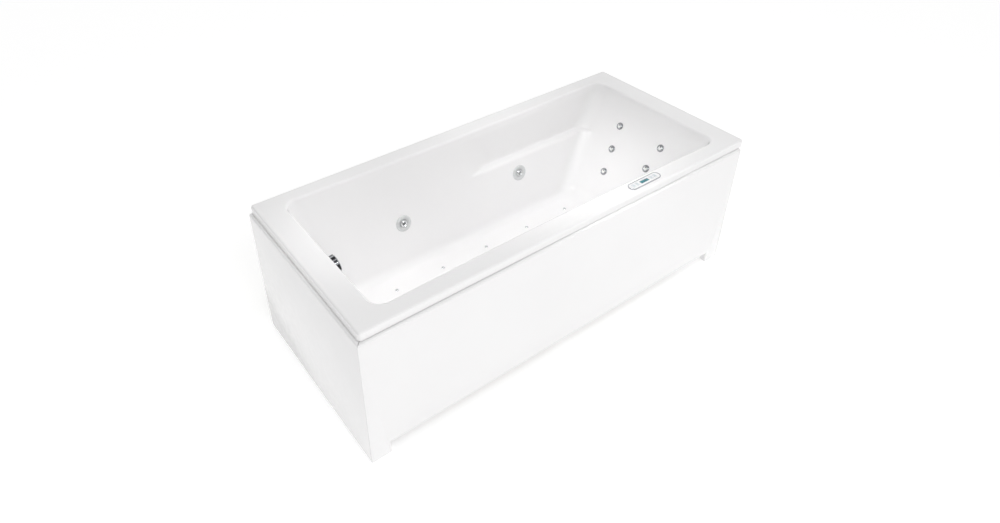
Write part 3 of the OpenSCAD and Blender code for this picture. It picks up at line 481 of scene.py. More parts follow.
# ---- Panels ----
# Two sheets of the same white acrylic, vacuum-formed over a frame, with their edges
# turned in. The front one has a toe recess, and both clip to the steel posts.
panel_t, panel_return, panel_soft, recess_h, tab_w = 4, 26, 7, 47, 75
face_x, face_end, face_y, panel_low, panel_top = -861, 833, -386, 2, 533
panel_skin = [("SOLIDIFY", {"thickness": panel_t / 1000, "offset": -1,
                            "use_quality_normals": True}),
              ("BEVEL", {"width": 0.0009, "segments": 2, "limit_method": "ANGLE",
                         "angle_limit": math.radians(60)})]


def soften(bm, edges, width, segments):
    bmesh.ops.bevel(bm, geom=edges, offset=width, offset_type="OFFSET", segments=segments,
                    profile=0.5, affect="EDGES", material=-1)


def folded_sheet(outline, plain, inward, soft, mitre):
    """A flat sheet whose edges, but for the plain ones, turn inward round a soft corner.

    One corner's turned edge is cut on the slant, by the mitre, to clear the next panel.
    """
    bm = bmesh.new()
    verts = [bm.verts.new(corner) for corner in outline]
    sheet = bm.faces.new(verts)
    folding = [edge for i, edge in enumerate(sheet.edges) if i not in plain]
    made = bmesh.ops.extrude_edge_only(bm, edges=folding)["geom"]
    fresh = [g for g in made if isinstance(g, bmesh.types.BMVert)]
    bmesh.ops.translate(bm, verts=fresh, vec=inward)
    corner, slant_cut = mitre
    cut = min(fresh, key=lambda v: (v.co - Vector(outline[corner]) - Vector(inward)).length)
    cut.co += Vector(slant_cut)
    folds = [edge for edge in bm.edges if len(edge.link_faces) == 2]
    soften(bm, folds, soft, 5)
    sheet = max(bm.faces, key=lambda f: f.calc_area())
    bmesh.ops.inset_region(bm, faces=[sheet], thickness=3, use_even_offset=True)
    bmesh.ops.recalc_face_normals(bm, faces=bm.faces)
    sheet = max(bm.faces, key=lambda f: f.calc_area())
    sheet.normal_update()
    if sheet.normal.dot(Vector(inward)) > 0:
        bmesh.ops.reverse_faces(bm, faces=bm.faces)
    return bm


recess_z = panel_low + recess_h
front_outline = [(face_x, panel_low), (face_x + tab_w, panel_low), (face_x + tab_w, recess_z),
                 (face_end - tab_w, recess_z), (face_end - tab_w, panel_low),
                 (face_end, panel_low), (face_end, panel_top), (face_x, panel_top)]
front_bm = folded_sheet([(x, face_y, z) for x, z in front_outline], (0, 4, 7),
                        (0, panel_return, 0), panel_soft, (7, (panel_return, 0, 0)))
finish_piece("panel_front", front_bm, "tub", ["front_panel"], [acrylic],
             modifiers=panel_skin)
end_y = face_y + panel_t + 0.1
end_outline = [(end_y, panel_low), (end_y, panel_top), (tub_w / 2, panel_top),
               (tub_w / 2, panel_low)]
end_bm = folded_sheet([(face_x, y, z) for y, z in end_outline], (0, 3), (panel_return, 0, 0),
                      panel_soft, (1, (0, panel_return - panel_t + 1, 0)))
finish_piece("panel_end", end_bm, "tub", ["end_panel"], [acrylic],
             modifiers=panel_skin)


# ---- Side jets ----
# Four water jets in the side walls. Each has a clear grey screw-in ring with radial
# ribs, and a chromed ball that swivels in it to aim the water.
def rounded(corners, closed, steps):
    """A lathe profile through corners of (radius, height, how far each is rounded)."""
    profile = []
    for i, (r, z, soft) in enumerate(corners):
        corner = Vector((r, z))
        if soft == 0 or (not closed and i in (0, len(corners) - 1)):
            profile.append(corner)
            continue
        before = Vector(corners[i - 1][:2]) - corner
        after = Vector(corners[(i + 1) % len(corners)][:2]) - corner
        reach = min(soft, before.length * 0.42, after.length * 0.42)
        start, end = corner + before.normalized() * reach, corner + after.normalized() * reach
        profile.append(start + before.normalized() * reach * 0.15)
        profile += [start * (1 - t) ** 2 + corner * 2 * t * (1 - t) + end * t ** 2
                    for t in (k / steps for k in range(steps + 1))]
        profile.append(end + after.normalized() * reach * 0.15)
    return profile


def lathe(corners, sides, closed=False, steps=4):
    bm = bmesh.new()
    verts = [bm.verts.new((p.x, 0, p.y)) for p in rounded(corners, closed, steps)]
    pairs = list(zip(verts, verts[1:])) + ([(verts[-1], verts[0])] if closed else [])
    edges = [bm.edges.new(pair) for pair in pairs]
    bmesh.ops.spin(bm, geom=verts + edges, cent=(0, 0, 0), axis=(0, 0, 1), angle=2 * math.pi,
                   steps=sides, use_merge=True)
    bmesh.ops.remove_doubles(bm, verts=bm.verts, dist=0.0005)
    bmesh.ops.recalc_face_normals(bm, faces=bm.faces)
    return bm


def block(size, place, soft=0.0):
    """A box with softened edges, centred on its place."""
    bm = bmesh.new()
    bmesh.ops.create_cube(bm, size=1, matrix=Matrix.Diagonal((*size, 1)))
    if soft:
        soften(bm, bm.edges[:], soft, 2)
    bm.transform(place)
    return bm


def add(bm, part, place=None, finish=None):
    """Adds one shape to another, at a place and in one of the piece's finishes."""
    if place is not None:
        part.transform(place)
    if finish is not None:
        for face in part.faces:
            face.material_index = finish
    mesh = bpy.data.meshes.new("part")
    part.to_mesh(mesh)
    part.free()
    bm.from_mesh(mesh)
    bpy.data.meshes.remove(mesh)


def turned(angle):
    return Matrix.Rotation(math.radians(angle), 4, "Z")


clear_grey = Finish("clear_grey_plastic", {"IOR": 1.5, "Coat Weight": 0.5, "Coat Roughness": 0.08})
clear_grey.mottle(clear_grey.noise(120.0), (0.64, 0.65, 0.65), (0.72, 0.73, 0.73),
                  clear_grey.noise(400.0), 0.18, 0.28)
clear_grey.raise_by(clear_grey.noise(900.0), 0.00004)

chrome = Finish("chrome", {"Metallic": 1.0, "Coat Weight": 0.0})
smears = chrome.noise(55.0, 4.0)
chrome.mottle(smears, (0.46, 0.47, 0.49), (0.60, 0.61, 0.63), smears, 0.05, 0.14)
chrome.raise_by(chrome.noise(700.0), 0.00001)

satin = Finish("satin_chrome", {"Metallic": 1.0})
brushing = satin.noise(220.0, 4.0)
satin.mottle(brushing, (0.74, 0.75, 0.76), (0.86, 0.87, 0.88), brushing, 0.12, 0.24)
satin.raise_by(satin.noise(900.0), 0.00002)

jet_ring = [(33, 0, 0.3), (33, 2.4, 1.2), (30.6, 5.0, 1.4), (23.6, 5.2, 1.0), (21, 3.2, 0.8),
            (17.6, 2.6, 0.6), (16.7, 0.6, 0.4), (16.7, -6, 0.4), (14, -12, 0.4), (14, -20, 0.4),
            (25, -20, 0.4), (25, 0, 0.3)]
ball_r, ball_z = 16, -2
ball = [(ball_r * math.cos(a), ball_z + ball_r * math.sin(a), 0)
        for a in (math.radians(-48 + 94 * k / 18) for k in range(19))]
ball += [(11, 9.5, 0), (9.8, 9.3, 0.5), (6.1, 5.4, 1.0), (5.8, -2, 0.5), (5.8, -13.9, 0)]
rings_bm = bmesh.new()
for i, (x, side) in enumerate(side_jet_spots):
    place = on_side(x, side, side_jet_z)
    add(rings_bm, lathe(jet_ring, 72, True), place)
    for k in range(24):
        add(rings_bm, block((6.4, 0.9, 0.8), place @ turned(15 * k) @ at(26.8, 0, 5.3), 0.25))
    eye = lathe(ball, 56, True)
    for k in range(3):
        add(eye, block((6, 0.9, 5), turned(120 * k + 30) @ at(3, 0, 2.5), 0.2))
    eye.transform(place)
    finish_piece(f"jet_ball_{i + 1}", eye, f"eye_{i + 1}", [f"side_jet_eye_{i + 1}"],
                 [satin])
finish_piece("jet_rings", rings_bm, "tub", ["side_jet_flanges"], [clear_grey])

# ---- Back jets ----
# Six small jets in the backrest. A chromed ring covers each hole, a white cap with an
# off-centre hole spins in it, and a white body is nutted on behind the wall.
pvc = Finish("white_pvc", {"IOR": 1.53})
streaks = pvc.noise(14.0, 3.0, pvc.stretched((1.0, 1.0, 0.2)))
pvc.mottle(streaks, (0.74, 0.74, 0.71), (0.82, 0.82, 0.80), pvc.noise(160.0), 0.28, 0.42)
pvc.raise_by(pvc.noise(500.0), 0.00006)

back_ring = [(16, 0, 0.2), (16, 0.9, 0.6), (14.8, 2.3, 0.6), (12.9, 2.3, 0.3), (12.5, 1.2, 0.3),
             (6.6, 1.2, 0.3), (6.6, -0.4, 0)]
back_body = [(6.4, -13.8, 0.3), (6.4, 0, 0.2), (9.9, 0, 0.2), (9.9, -34, 0.8), (0.01, -34, 0)]
spinner = [(0, 5.4, 0), (4, 5.5, 0.5), (7.2, 5.3, 0.5), (7.7, 4.9, 0.15), (8.1, 5.3, 0.3),
           (10.4, 4.9, 0.9), (12, 3.2, 0.5), (12, 2.45, 0.2), (6, 2.45, 0.2), (6, -12, 0.5),
           (0, -12, 0)]
cap_white = Finish("cap_white", {"IOR": 1.5, "Coat Weight": 0.4, "Coat Roughness": 0.06})
cap_white.mottle(cap_white.noise(300.0), (0.80, 0.80, 0.80), (0.88, 0.88, 0.88),
                 cap_white.noise(500.0), 0.18, 0.30)
cap_white.raise_by(cap_white.noise(800.0), 0.00003)


def hex_nut(radius, depth, soft=0.0):
    bm = bmesh.new()
    bmesh.ops.create_cone(bm, cap_ends=True, segments=6, radius1=radius, radius2=radius,
                          depth=depth)
    if soft:
        soften(bm, bm.edges[:], soft, 2)
    return bm


white_r, white_z, cap_hole_x, cap_hole_r = 7.7, 4.5, 5, 3.4
covers = bmesh.new()
for i, (y, z) in enumerate(back_jet_spots):
    place = on_back(y, z)
    add(covers, lathe(back_ring, 48), place)
    add(covers, lathe(back_body, 40), place, 1)
    add(covers, hex_nut(16, 8, 0.8), place @ at(0, 0, -10.2), 1)
    cap = lathe(spinner, 48)
    for face in cap.faces:
        middle = face.calc_center_median()
        face.material_index = int(middle.z > white_z and middle.xy.length < white_r)
    cap.transform(place)
    finish_piece(f"jet_cap_{i + 1}", cap, f"nozzle_{i + 1}",
                 [f"back_jet_nozzle_{i + 1}"], [chrome, cap_white],
                 cutter=drills([(place @ at(cap_hole_x, 0, 25), cap_hole_r)]))
finish_piece("jet_covers", covers, "tub", ["back_jet_bodies"], [chrome, pvc])

# ---- Waste and overflow ----
# A chromed knob on the foot wall turns a cable that lifts the plug in the floor. Both
# fittings are screwed through the acrylic into white bodies behind it.
rosette = [(34, 0, 0.2), (34, 1.4, 0.8), (31.6, 4.0, 1.0), (24, 4.2, 0.8), (22.4, 2.6, 0.5),
           (19.4, 2.2, 0.4), (19.4, -24, 0.3), (21.9, -24, 0.3), (21.9, 0, 0.2)]
knob = [(0, 25.8, 0), (10, 26, 3), (21, 26.9, 3), (27.6, 27, 1.6), (31, 24.6, 1.4),
        (31, 18, 0.2), (30.3, 17.4, 0.2), (30.3, 16.6, 0.2), (31, 16, 0.2), (31, 8, 0.6),
        (29.8, 7, 0.4), (28.4, 7.2, 0.4), (28.4, 23.4, 1.5), (10, 23.4, 0.6), (10, 9, 0.4),
        (6, 8, 0.3), (6, -18, 0.8), (0, -18, 0)]
rosette_bm = lathe(rosette, 72, True)
collar = [(6.4, 0.4, 0.2), (6.4, 3.6, 0.4), (9.9, 3.6, 0.4), (9.9, 0.4, 0.2)]
add(rosette_bm, lathe(collar, 40, True))
for end in (-1, 1):
    add(rosette_bm, block((10.6, 8, 3), at(end * 14.8, 0, 1.9), 0.4))
rosette_bm.transform(on_foot(overflow_z))
finish_piece("overflow_ring", rosette_bm, "tub", ["overflow_rosette"], [chrome])

# The dark patches round the knob's grip band are painted reflection and shade: a near-black metal
# stands in for the dark surroundings that polished chrome would mirror.
painted_reflection = Finish("painted_dark_reflection", {"Metallic": 1.0})
painted_reflection.mottle(painted_reflection.noise(80.0, 4.0), (0.030, 0.030, 0.032), (0.075, 0.075, 0.080),
              painted_reflection.noise(300.0), 0.08, 0.2)
painted_reflection.raise_by(painted_reflection.noise(800.0), 0.00001)
knob_bm = lathe(knob, 72)
patch_pitch, patch_width, patch_low, patch_top, skirt_r = 60, 44, 7.4, 24, 29
# Faces on the grip band, in patches round the knob, take the painted dark reflection.
for face in knob_bm.faces:
    middle = face.calc_center_median()
    turn = math.degrees(math.atan2(middle.y, middle.x)) % patch_pitch
    if middle.xy.length > skirt_r and patch_low < middle.z < patch_top and turn < patch_width:
        face.material_index = 1
knob_bm.transform(on_foot(overflow_z))
finish_piece("overflow_handle", knob_bm, "knob", ["overflow_knob"], [chrome, painted_reflection])

drain_ring = [(36, 0, 0.2), (36, 0.9, 0.5), (33.2, 3.0, 0.9), (30.6, 3.2, 0.6), (27, 1.8, 0.8),
              (23, 0.6, 0.5), (22.9, -22, 0.3), (25.9, -22, 0.3), (25.9, 0, 0.2)]
plug_lid = [(0, 8.5, 0), (12, 8.4, 3), (24, 7.7, 3), (29.4, 6.2, 1.2), (31, 4.3, 0.7),
            (30, 3.45, 0.3), (22, 3.45, 0.3), (22, -3.6, 0.8), (4, -3.6, 0.5), (4, -53.9, 0.8),
            (0, -53.9, 0)]
for name, profile, closed, body, node in (("drain_ring", drain_ring, True, "tub", "drain_flange"),
                                          ("drain_lid", plug_lid, False, "plug", "drain_plug")):
    fitting = lathe(profile, 72, closed)
    fitting.transform(at(drain_x, 0, floor_z))
    finish_piece(name, fitting, body, [node], [chrome])

# ---- Suction grille and air nozzles ----
# The pump draws through a chromed grille low in the front wall. Ten small chromed
# nozzles in the floor blow air, each screwed on a stem through a nut under it.
def perforation(place, radius, circles):
    """Cutters for round holes, in circles of (radius, how many)."""
    return drills([(place @ turned(360 / count * k) @ at(r, 0, 0), radius)
                   for r, count in circles for k in range(count)])


grille = [(0, 7.2, 0), (20, 7.0, 4), (38, 6.2, 3), (44, 3.4, 1.6), (46, 0.8, 0.5), (46, 0, 0.2),
          (34, 0, 0.2), (34, -20, 0.4), (30, -20, 0.4), (30, 3, 1), (0, 3.4, 0)]
grille_place = on_side(grille_x, -1, grille_z)
grille_bm = lathe(grille, 72)
grille_bm.transform(grille_place)
finish_piece("suction_cover", grille_bm, "tub", ["suction_grille"], [chrome],
             cutter=perforation(grille_place, 1.9, ((9, 8), (17, 15), (25, 20))))

air_cap = [(7, 0, 0.2), (7, 0.8, 0.4), (5.6, 2.4, 0.8), (2.4, 2.2, 0.4), (1.6, 1.0, 0.2),
           (1.6, -26, 0), (4, -26, 0.4), (4, 0, 0.1)]
air_bm = bmesh.new()
for x, y in air_spots:
    add(air_bm, lathe(air_cap, 32, True, 3), at(x, y, floor_z))
    add(air_bm, hex_nut(8, 7.8, 0.6), at(x, y, floor_z - wall_t - 4), 1)
finish_piece("air_caps", air_bm, "tub", ["air_nozzles"], [satin, pvc])

# ---- Keypad ----
# A slim oblong pad let into the front rim: a chromed frame round a white film face,
# a dark display window, and four light grey keys that click down.
keypad_x, keypad_y, keypad_l, keypad_w, frame_w = 333, -339.5, 152, 36, 3
keypad_place = at(keypad_x, keypad_y, rim_h)


def oblong(length, width, height, soft, hollow=0.0):
    """An upright oblong with round ends, or the frame of one, with its top edges softened."""
    bm = bmesh.new()
    bmesh.ops.create_circle(bm, cap_ends=True, segments=96, radius=width / 2)
    for vert in bm.verts:
        vert.co.x += math.copysign((length - width) / 2, vert.co.x)
    if hollow:
        bmesh.ops.inset_region(bm, faces=bm.faces[:], thickness=hollow, use_boundary=True,
                               use_even_offset=True)
        middle = min(bm.faces, key=lambda f: f.calc_center_median().length - len(f.verts))
        bmesh.ops.delete(bm, geom=[middle], context="FACES_ONLY")
    made = bmesh.ops.extrude_face_region(bm, geom=bm.faces[:], use_keep_orig=True)["geom"]
    bmesh.ops.translate(bm, vec=(0, 0, height),
                        verts=[g for g in made if isinstance(g, bmesh.types.BMVert)])
    bmesh.ops.recalc_face_normals(bm, faces=bm.faces)
    rims = [e for e in bm.edges if len(e.link_faces) == 2 and e.calc_face_angle() > 1.2
            and min(v.co.z for v in e.verts) > height - 0.01]
    soften(bm, rims, soft, 3)
    return bm


film = Finish("white_film", {"IOR": 1.45, "Coat Weight": 0.25, "Coat Roughness": 0.2})
film.mottle(film.noise(90.0), (0.80, 0.80, 0.81), (0.86, 0.86, 0.86),
            film.noise(600.0), 0.30, 0.42)
film.raise_by(film.cells(1400.0), 0.00003)
key_film = Finish("grey_film", {"IOR": 1.45})
key_film.mottle(key_film.noise(150.0), (0.66, 0.68, 0.69), (0.74, 0.76, 0.77),
                key_film.noise(700.0), 0.34, 0.48)
key_film.raise_by(key_film.cells(1600.0), 0.00003)
mark_film = Finish("dark_film", {"IOR": 1.45})
mark_film.mottle(mark_film.noise(300.0), (0.20, 0.33, 0.36), (0.27, 0.40, 0.43),
                 mark_film.noise(900.0), 0.3, 0.45)
display = Finish("display_window", {"IOR": 1.5, "Coat Weight": 1.0, "Coat Roughness": 0.03,
                                    "Emission Strength": 0.35})
bars = display.node("ShaderNodeTexWave", {"bands_direction": "X", "wave_profile": "SIN"},
                    {"Vector": display.place(), "Scale": 60.0, "Distortion": 0.0}, "Fac")
glow = bars * display.noise(140.0)
lit = display.ramp(glow, (0.30, (0.004, 0.035, 0.045, 1)), (0.42, (0.03, 0.30, 0.34, 1)))
display.paint(lit, display.between(display.noise(500.0), 0.08, 0.16))
display.feed(display.shader.inputs["Emission Color"], lit)

bezel = oblong(keypad_l, keypad_w, 4, 1.0, frame_w)
bezel.transform(keypad_place)
finish_piece("keypad_frame", bezel, "tub", ["keypad_bezel"], [chrome])

key_xs, key_l, key_w, window_l, window_w = (-53, -35, 35, 53), 13, 18, 40, 14
plate = oblong(keypad_l - 2 * frame_w - 0.2, keypad_w - 2 * frame_w - 0.2, 3.4, 0.5)
plate.transform(keypad_place)
stem = lathe([(0, 1, 0), (5, 1, 0.2), (5, -12, 0.6), (0, -12, 0)], 32)
stem.transform(keypad_place)
wells = bmesh.new()
for x in key_xs:
    add(wells, block((key_l + 0.8, key_w + 0.8, 8), keypad_place @ at(x, 0, 4)))
add(wells, block((window_l, window_w, 2), keypad_place @ at(0, 0, 3.4)))
wells.transform(tub_place)
finish_piece("keypad_plate", plate, "tub", ["keypad_face"], [film],
             cutter=cutter_from(wells), uncut=stem)
window = block((window_l - 0.4, window_w - 0.4, 1.3), keypad_place @ at(0, 0, 3.05), 0.3)
finish_piece("keypad_window", window, "tub", ["keypad_lens"], [display])
for i, x in enumerate(key_xs):
    key = block((key_l, key_w, 3.4), at(0, 0, 2.9), 0.6)
    bubbles = ((0, 3.4, 2.6), (-2.2, -1.6, 1.7), (2.0, -3.8, 1.3)) if i % 2 else ((0, 0, 3.4),)
    for bx, by, r in bubbles:
        mark = [(r - 0.7, 4.5, 0.1), (r - 0.7, 4.72, 0.1), (r, 4.72, 0.1), (r, 4.5, 0.1)]
        add(key, lathe(mark, 24, True, 2), at(bx, by, 0), 1)
    key.transform(keypad_place @ at(x, 0, 0))
    finish_piece(f"keypad_key_{i + 1}", key, f"key_{i + 1}", [f"key_{i + 1}"],
                 [key_film, mark_film])

# ---- Frame, board and feet ----
# Square steel tube, powder coated grey: two rails along the bath, three beams across,
# and posts up to the rim. Chipboard stiffens the base, and five feet screw into nuts.
def coat_node(finish, *nodes, soft=0.0):
    """Gives a node of the frame its material, and a small radius on its sharp edges."""
    for node in nodes:
        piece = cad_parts[node]
        for slot in piece.material_slots:
            slot.material = finish.material
        if soft:
            weld = piece.modifiers.new("Weld", "WELD")
            weld.merge_threshold = 0.00002
            bevel = piece.modifiers.new("Bevel", "BEVEL")
            bevel.width, bevel.segments = soft / 1000, 2
            bevel.limit_method, bevel.angle_limit = "ANGLE", math.radians(50)
            bevel.use_clamp_overlap, bevel.harden_normals = True, True


powder = Finish("grey_powder_coat", {"IOR": 1.5})
scuffs = powder.noise(9.0, 6.0)
powder.mottle(scuffs, (0.46, 0.47, 0.49), (0.57, 0.58, 0.60), powder.noise(260.0), 0.36, 0.55)
powder.raise_by(powder.noise(520.0), 0.00025)
coat_node(powder, "long_rails", "cross_beams", "rim_posts", soft=2.0)

zinc = Finish("zinc_plate", {"Metallic": 1.0})
spangle = zinc.cells(70.0, "Color")
zinc.paint(zinc.mix(zinc.node("ShaderNodeSeparateColor", {}, {"Color": spangle}, "Red"),
                    (0.50, 0.51, 0.53, 1), (0.70, 0.71, 0.73, 1)),
           zinc.between(zinc.noise(40.0, 4.0), 0.28, 0.46))
zinc.raise_by(zinc.noise(420.0), 0.00008)
coat_node(zinc, "panel_clips", "frame_bolts", soft=0.4)
coat_node(zinc, "service_tray", soft=1.0)

chips = Finish("chipboard", {"IOR": 1.45})
flakes = chips.cells(130.0, "Color", chips.stretched((1.0, 2.2, 1.0)))
flakes = chips.node("ShaderNodeSeparateColor", {}, {"Color": flakes}, "Red")
chips.paint(chips.ramp(flakes * 0.7 + chips.noise(18.0, 4.0) * 0.3,
                       (0.15, (0.30, 0.19, 0.10, 1)), (0.5, (0.52, 0.38, 0.23, 1)),
                       (0.85, (0.68, 0.54, 0.36, 1))), chips.between(flakes, 0.5, 0.75))
chips.raise_by(flakes, 0.0004)
coat_node(chips, "base_board", soft=1.0)

rubber = Finish("black_rubber", {"IOR": 1.45, "Specular IOR Level": 0.35})
rubber.mottle(rubber.noise(60.0, 4.0), (0.018, 0.018, 0.018), (0.045, 0.044, 0.042),
              rubber.noise(300.0), 0.55, 0.8)
rubber.raise_by(rubber.noise(800.0), 0.00012)
coat_node(rubber, "waste_gaskets", "plug_cable")

moulded = Finish("black_moulded_plastic", {"IOR": 1.5})
moulded.mottle(moulded.noise(24.0, 5.0), (0.022, 0.023, 0.026), (0.050, 0.051, 0.055),
               moulded.noise(350.0), 0.34, 0.52)
moulded.raise_by(moulded.cells(1300.0), 0.00006)

pad = [(0, 0, 0), (24, 0, 0.6), (27, 1.4, 0.6), (25.2, 5.4, 0.8), (20, 7.4, 2), (11.2, 13.6, 1.2),
       (9, 14, 0.6), (0, 14, 0)]
crest_r, groove_r, pitch, turns = 5.9, 5.1, 2, 41
thread = [(0, 13, 0)] + [(r, 14 + pitch * k + dz, 0) for k in range(turns)
                         for r, dz in ((crest_r, 0.0), (groove_r, pitch / 2))]
thread += [(5.2, 97, 0), (0, 98, 0)]
foot_spots = ((-700, -300), (640, -300), (-700, 300), (640, 300), (-20, 0))
for i, (x, y) in enumerate(foot_spots):
    foot_bm = lathe(thread, 24)
    for face in foot_bm.faces:
        face.material_index = 1
    add(foot_bm, lathe(pad, 56))
    for k in range(8):
        add(foot_bm, block((9, 1.6, 3), turned(45 * k) @ at(17.5, 0, 7.6), 0.5))
    foot_bm.transform(at(x, y, 0))
    finish_piece(f"levelling_foot_{i + 1}", foot_bm, f"foot_{i + 1}",
                 [f"foot_{i + 1}"], [moulded, zinc])

# ---- Plumbing ----
# White pipes and fittings, glued together under the tub, and two grey corrugated
# hoses. Ribbed union nuts hold the trap and the pump, so both come off.
coat_node(pvc, "drain_body", "drain_trap", "waste_outlet", "overflow_body", "side_jet_bodies",
          "suction_body", "suction_pipe", "pressure_pipe", "back_jet_pipes", "air_rails")


def bent(route, radius, step):
    """The points of a route, at equal steps, with its corners bent to a radius."""
    dense = [Vector(route[0])]
    for a, b, c in zip(route, route[1:], route[2:]):
        a, b, c = Vector(a), Vector(b), Vector(c)
        into, out = (b - a).normalized(), (c - b).normalized()
        angle = into.angle(out)
        start = b - into * radius * math.tan(angle / 2)
        centre = start + (out - into * into.dot(out)).normalized() * radius
        axis = into.cross(out)
        dense += [centre + Matrix.Rotation(angle * k / 16, 3, axis) @ (start - centre)
                  for k in range(17)]
    dense.append(Vector(route[-1]))
    lengths = [(b - a).length for a, b in zip(dense, dense[1:])]
    count = round(sum(lengths) / step)
    pace, path, along, i = sum(lengths) / count, [], 0.0, 0
    for k in range(count + 1):
        while i < len(lengths) - 1 and pace * k > along + lengths[i]:
            along += lengths[i]
            i += 1
        path.append(dense[i].lerp(dense[i + 1], min(1.0, (pace * k - along) / lengths[i])))
    return path


def hose(name, path, wave, node):
    """A corrugated hose: a tube along a path, whose thickness follows a repeating wave."""
    curve = bpy.data.curves.new(name, "CURVE")
    curve.dimensions, curve.bevel_depth, curve.bevel_resolution = "3D", 1.0, 6
    curve.use_fill_caps = True
    spline = curve.splines.new("POLY")
    spline.points.add(len(path) - 1)
    for i, (point, place) in enumerate(zip(spline.points, path)):
        point.co, point.radius = (*place, 1), wave[i % len(wave)]
    drawn = bpy.data.objects.new(name, curve)
    bpy.context.scene.collection.objects.link(drawn)
    bpy.context.view_layer.update()
    mesh = bpy.data.meshes.new_from_object(
        drawn.evaluated_get(bpy.context.evaluated_depsgraph_get()))
    bpy.data.objects.remove(drawn)
    bm = bmesh.new()
    bm.from_mesh(mesh)
    bmesh.ops.remove_doubles(bm, verts=bm.verts, dist=0.001)
    bmesh.ops.recalc_face_normals(bm, faces=bm.faces)
    finish_piece(name, bm, "tub", [node], [hose_grey], sharp=60)


hose_grey = Finish("grey_hose_plastic", {"IOR": 1.48})
hose_grey.mottle(hose_grey.noise(30.0, 4.0), (0.44, 0.45, 0.46), (0.56, 0.57, 0.58),
                 hose_grey.noise(200.0), 0.32, 0.5)
hose_grey.raise_by(hose_grey.noise(600.0), 0.0001)
overflow_route = [(-782.8, 0, 448.8), (-782.8, 0, 106), (-615, 0, 106)]
air_route = [(687, 91, 145), (610, 91, 145), (575, 85, 103), (459, 85, 103)]
hose("overflow_flex", bent(overflow_route, 75, 1.5), (12.8, 12.4, 11.2, 12.4), "overflow_hose")
hose("air_flex", bent(air_route, 26, 1.5), (11.8, 11.4, 10.3, 11.4), "air_hose")

pump_x, pump_z, union_ribs = 742, 193, 16
to_back, to_front = (Matrix.Rotation(turn * math.pi / 2, 4, "X") for turn in (-1, 1))
unions = ((at(drain_x, 0, 72), 36, 28.1, 9), (at(drain_x, 66, 46) @ to_back, 30, 20.1, 22),
          (at(pump_x, -244, pump_z) @ to_front, 34, 26, 14), (at(790, -209, 283), 25, 18, 18))
nuts = bmesh.new()
for place, r, bore, height in unions:
    shape = [(bore, 0, 0.3), (bore, height, 0.3), (r - 2.6, height, 1.2),
             (r - 1.4, height - 2, 0.5), (r - 1.4, 2, 0.5), (r - 2.6, 0, 1.2)]
    add(nuts, lathe(shape, 64, True, 3), place)
    for k in range(union_ribs):
        rib = turned(360 / union_ribs * k) @ at(r - 1.8, 0, height / 2)
        add(nuts, block((3.4, 3.6, height - 3), rib, 0.8), place)
finish_piece("ribbed_nuts", nuts, "tub", ["union_nuts"], [pvc])

# ---- Pump ----
# An electric motor in a finned aluminium shell, with a cowl over its fan and a box
# for its wires, bolted to a black moulded casing in which the impeller spins.
motor_paint = Finish("motor_paint", {"IOR": 1.5, "Coat Weight": 0.3, "Coat Roughness": 0.25})
motor_paint.mottle(motor_paint.noise(16.0, 5.0), (0.075, 0.088, 0.105), (0.125, 0.142, 0.165),
                   motor_paint.noise(180.0), 0.3, 0.5)
motor_paint.raise_by(motor_paint.cells(450.0), 0.0003)
tray_top = 117
motor_place = at(pump_x, -180, pump_z) @ to_back
shell = [(12.5, 0, 0), (56, 0, 0.8), (59.8, 2, 1.5), (59.8, 7, 1.5), (54, 8.4, 1), (49, 11, 2),
         (49, 168, 2), (55.4, 171, 1), (59.8, 173, 1.5), (59.8, 190, 6), (54, 199.6, 4),
         (0, 199.8, 0)]
motor_shell, motor = lathe(shell, 96), bmesh.new()
fins, wire_box_gap, foot_gap = 40, 30, 26
for k in range(fins):
    angle = 360 / fins * (k + 0.5)
    if abs(angle - 270) > wire_box_gap and abs(angle - 90) > foot_gap:
        add(motor, block((9, 1.8, 157), turned(angle) @ at(52, 0, 90), 0.5))
for k in range(4):
    add(motor, hex_nut(4.2, 3), turned(90 * k + 45) @ at(52.6, 0, 8.6), 1)
motor_shell.transform(motor_place)
motor.transform(motor_place)
foot_bolt = [(0, 23.4, 0), (5, 23, 0.5), (6.4, 21, 0.4), (6.4, 19, 0)]
for y in (-156, -8):
    add(motor, block((96, 22, 20), at(pump_x, y, tray_top + 10), 3))
    add(motor, block((64, 20, 26), at(pump_x, y, tray_top + 26), 3))
    for x in (-40, 40):
        add(motor, lathe(foot_bolt, 24), at(pump_x + x, y, tray_top), 1)
box_top = pump_z + 82
cover_screw = [(0, -0.4, 0), (3.6, -0.2, 0.5), (3.9, -3, 0)]
add(motor, block((59, 79, 27), at(pump_x, -90, box_top - 18), 3))
add(motor, block((59.8, 79.8, 5), at(pump_x, -90, box_top - 2.5), 1.8))
for x, y in ((-24, -124), (24, -124), (-24, -56), (24, -56)):
    add(motor, lathe(cover_screw, 20), at(pump_x + x, y, box_top + 0.3), 1)
vents = perforation(motor_place @ at(0, 0, 226), 2.4, ((14, 6), (23, 10), (32, 14), (41, 18)))
finish_piece("motor", motor_shell, "tub", ["pump_motor"], [motor_paint, zinc],
             cutter=vents, uncut=motor)

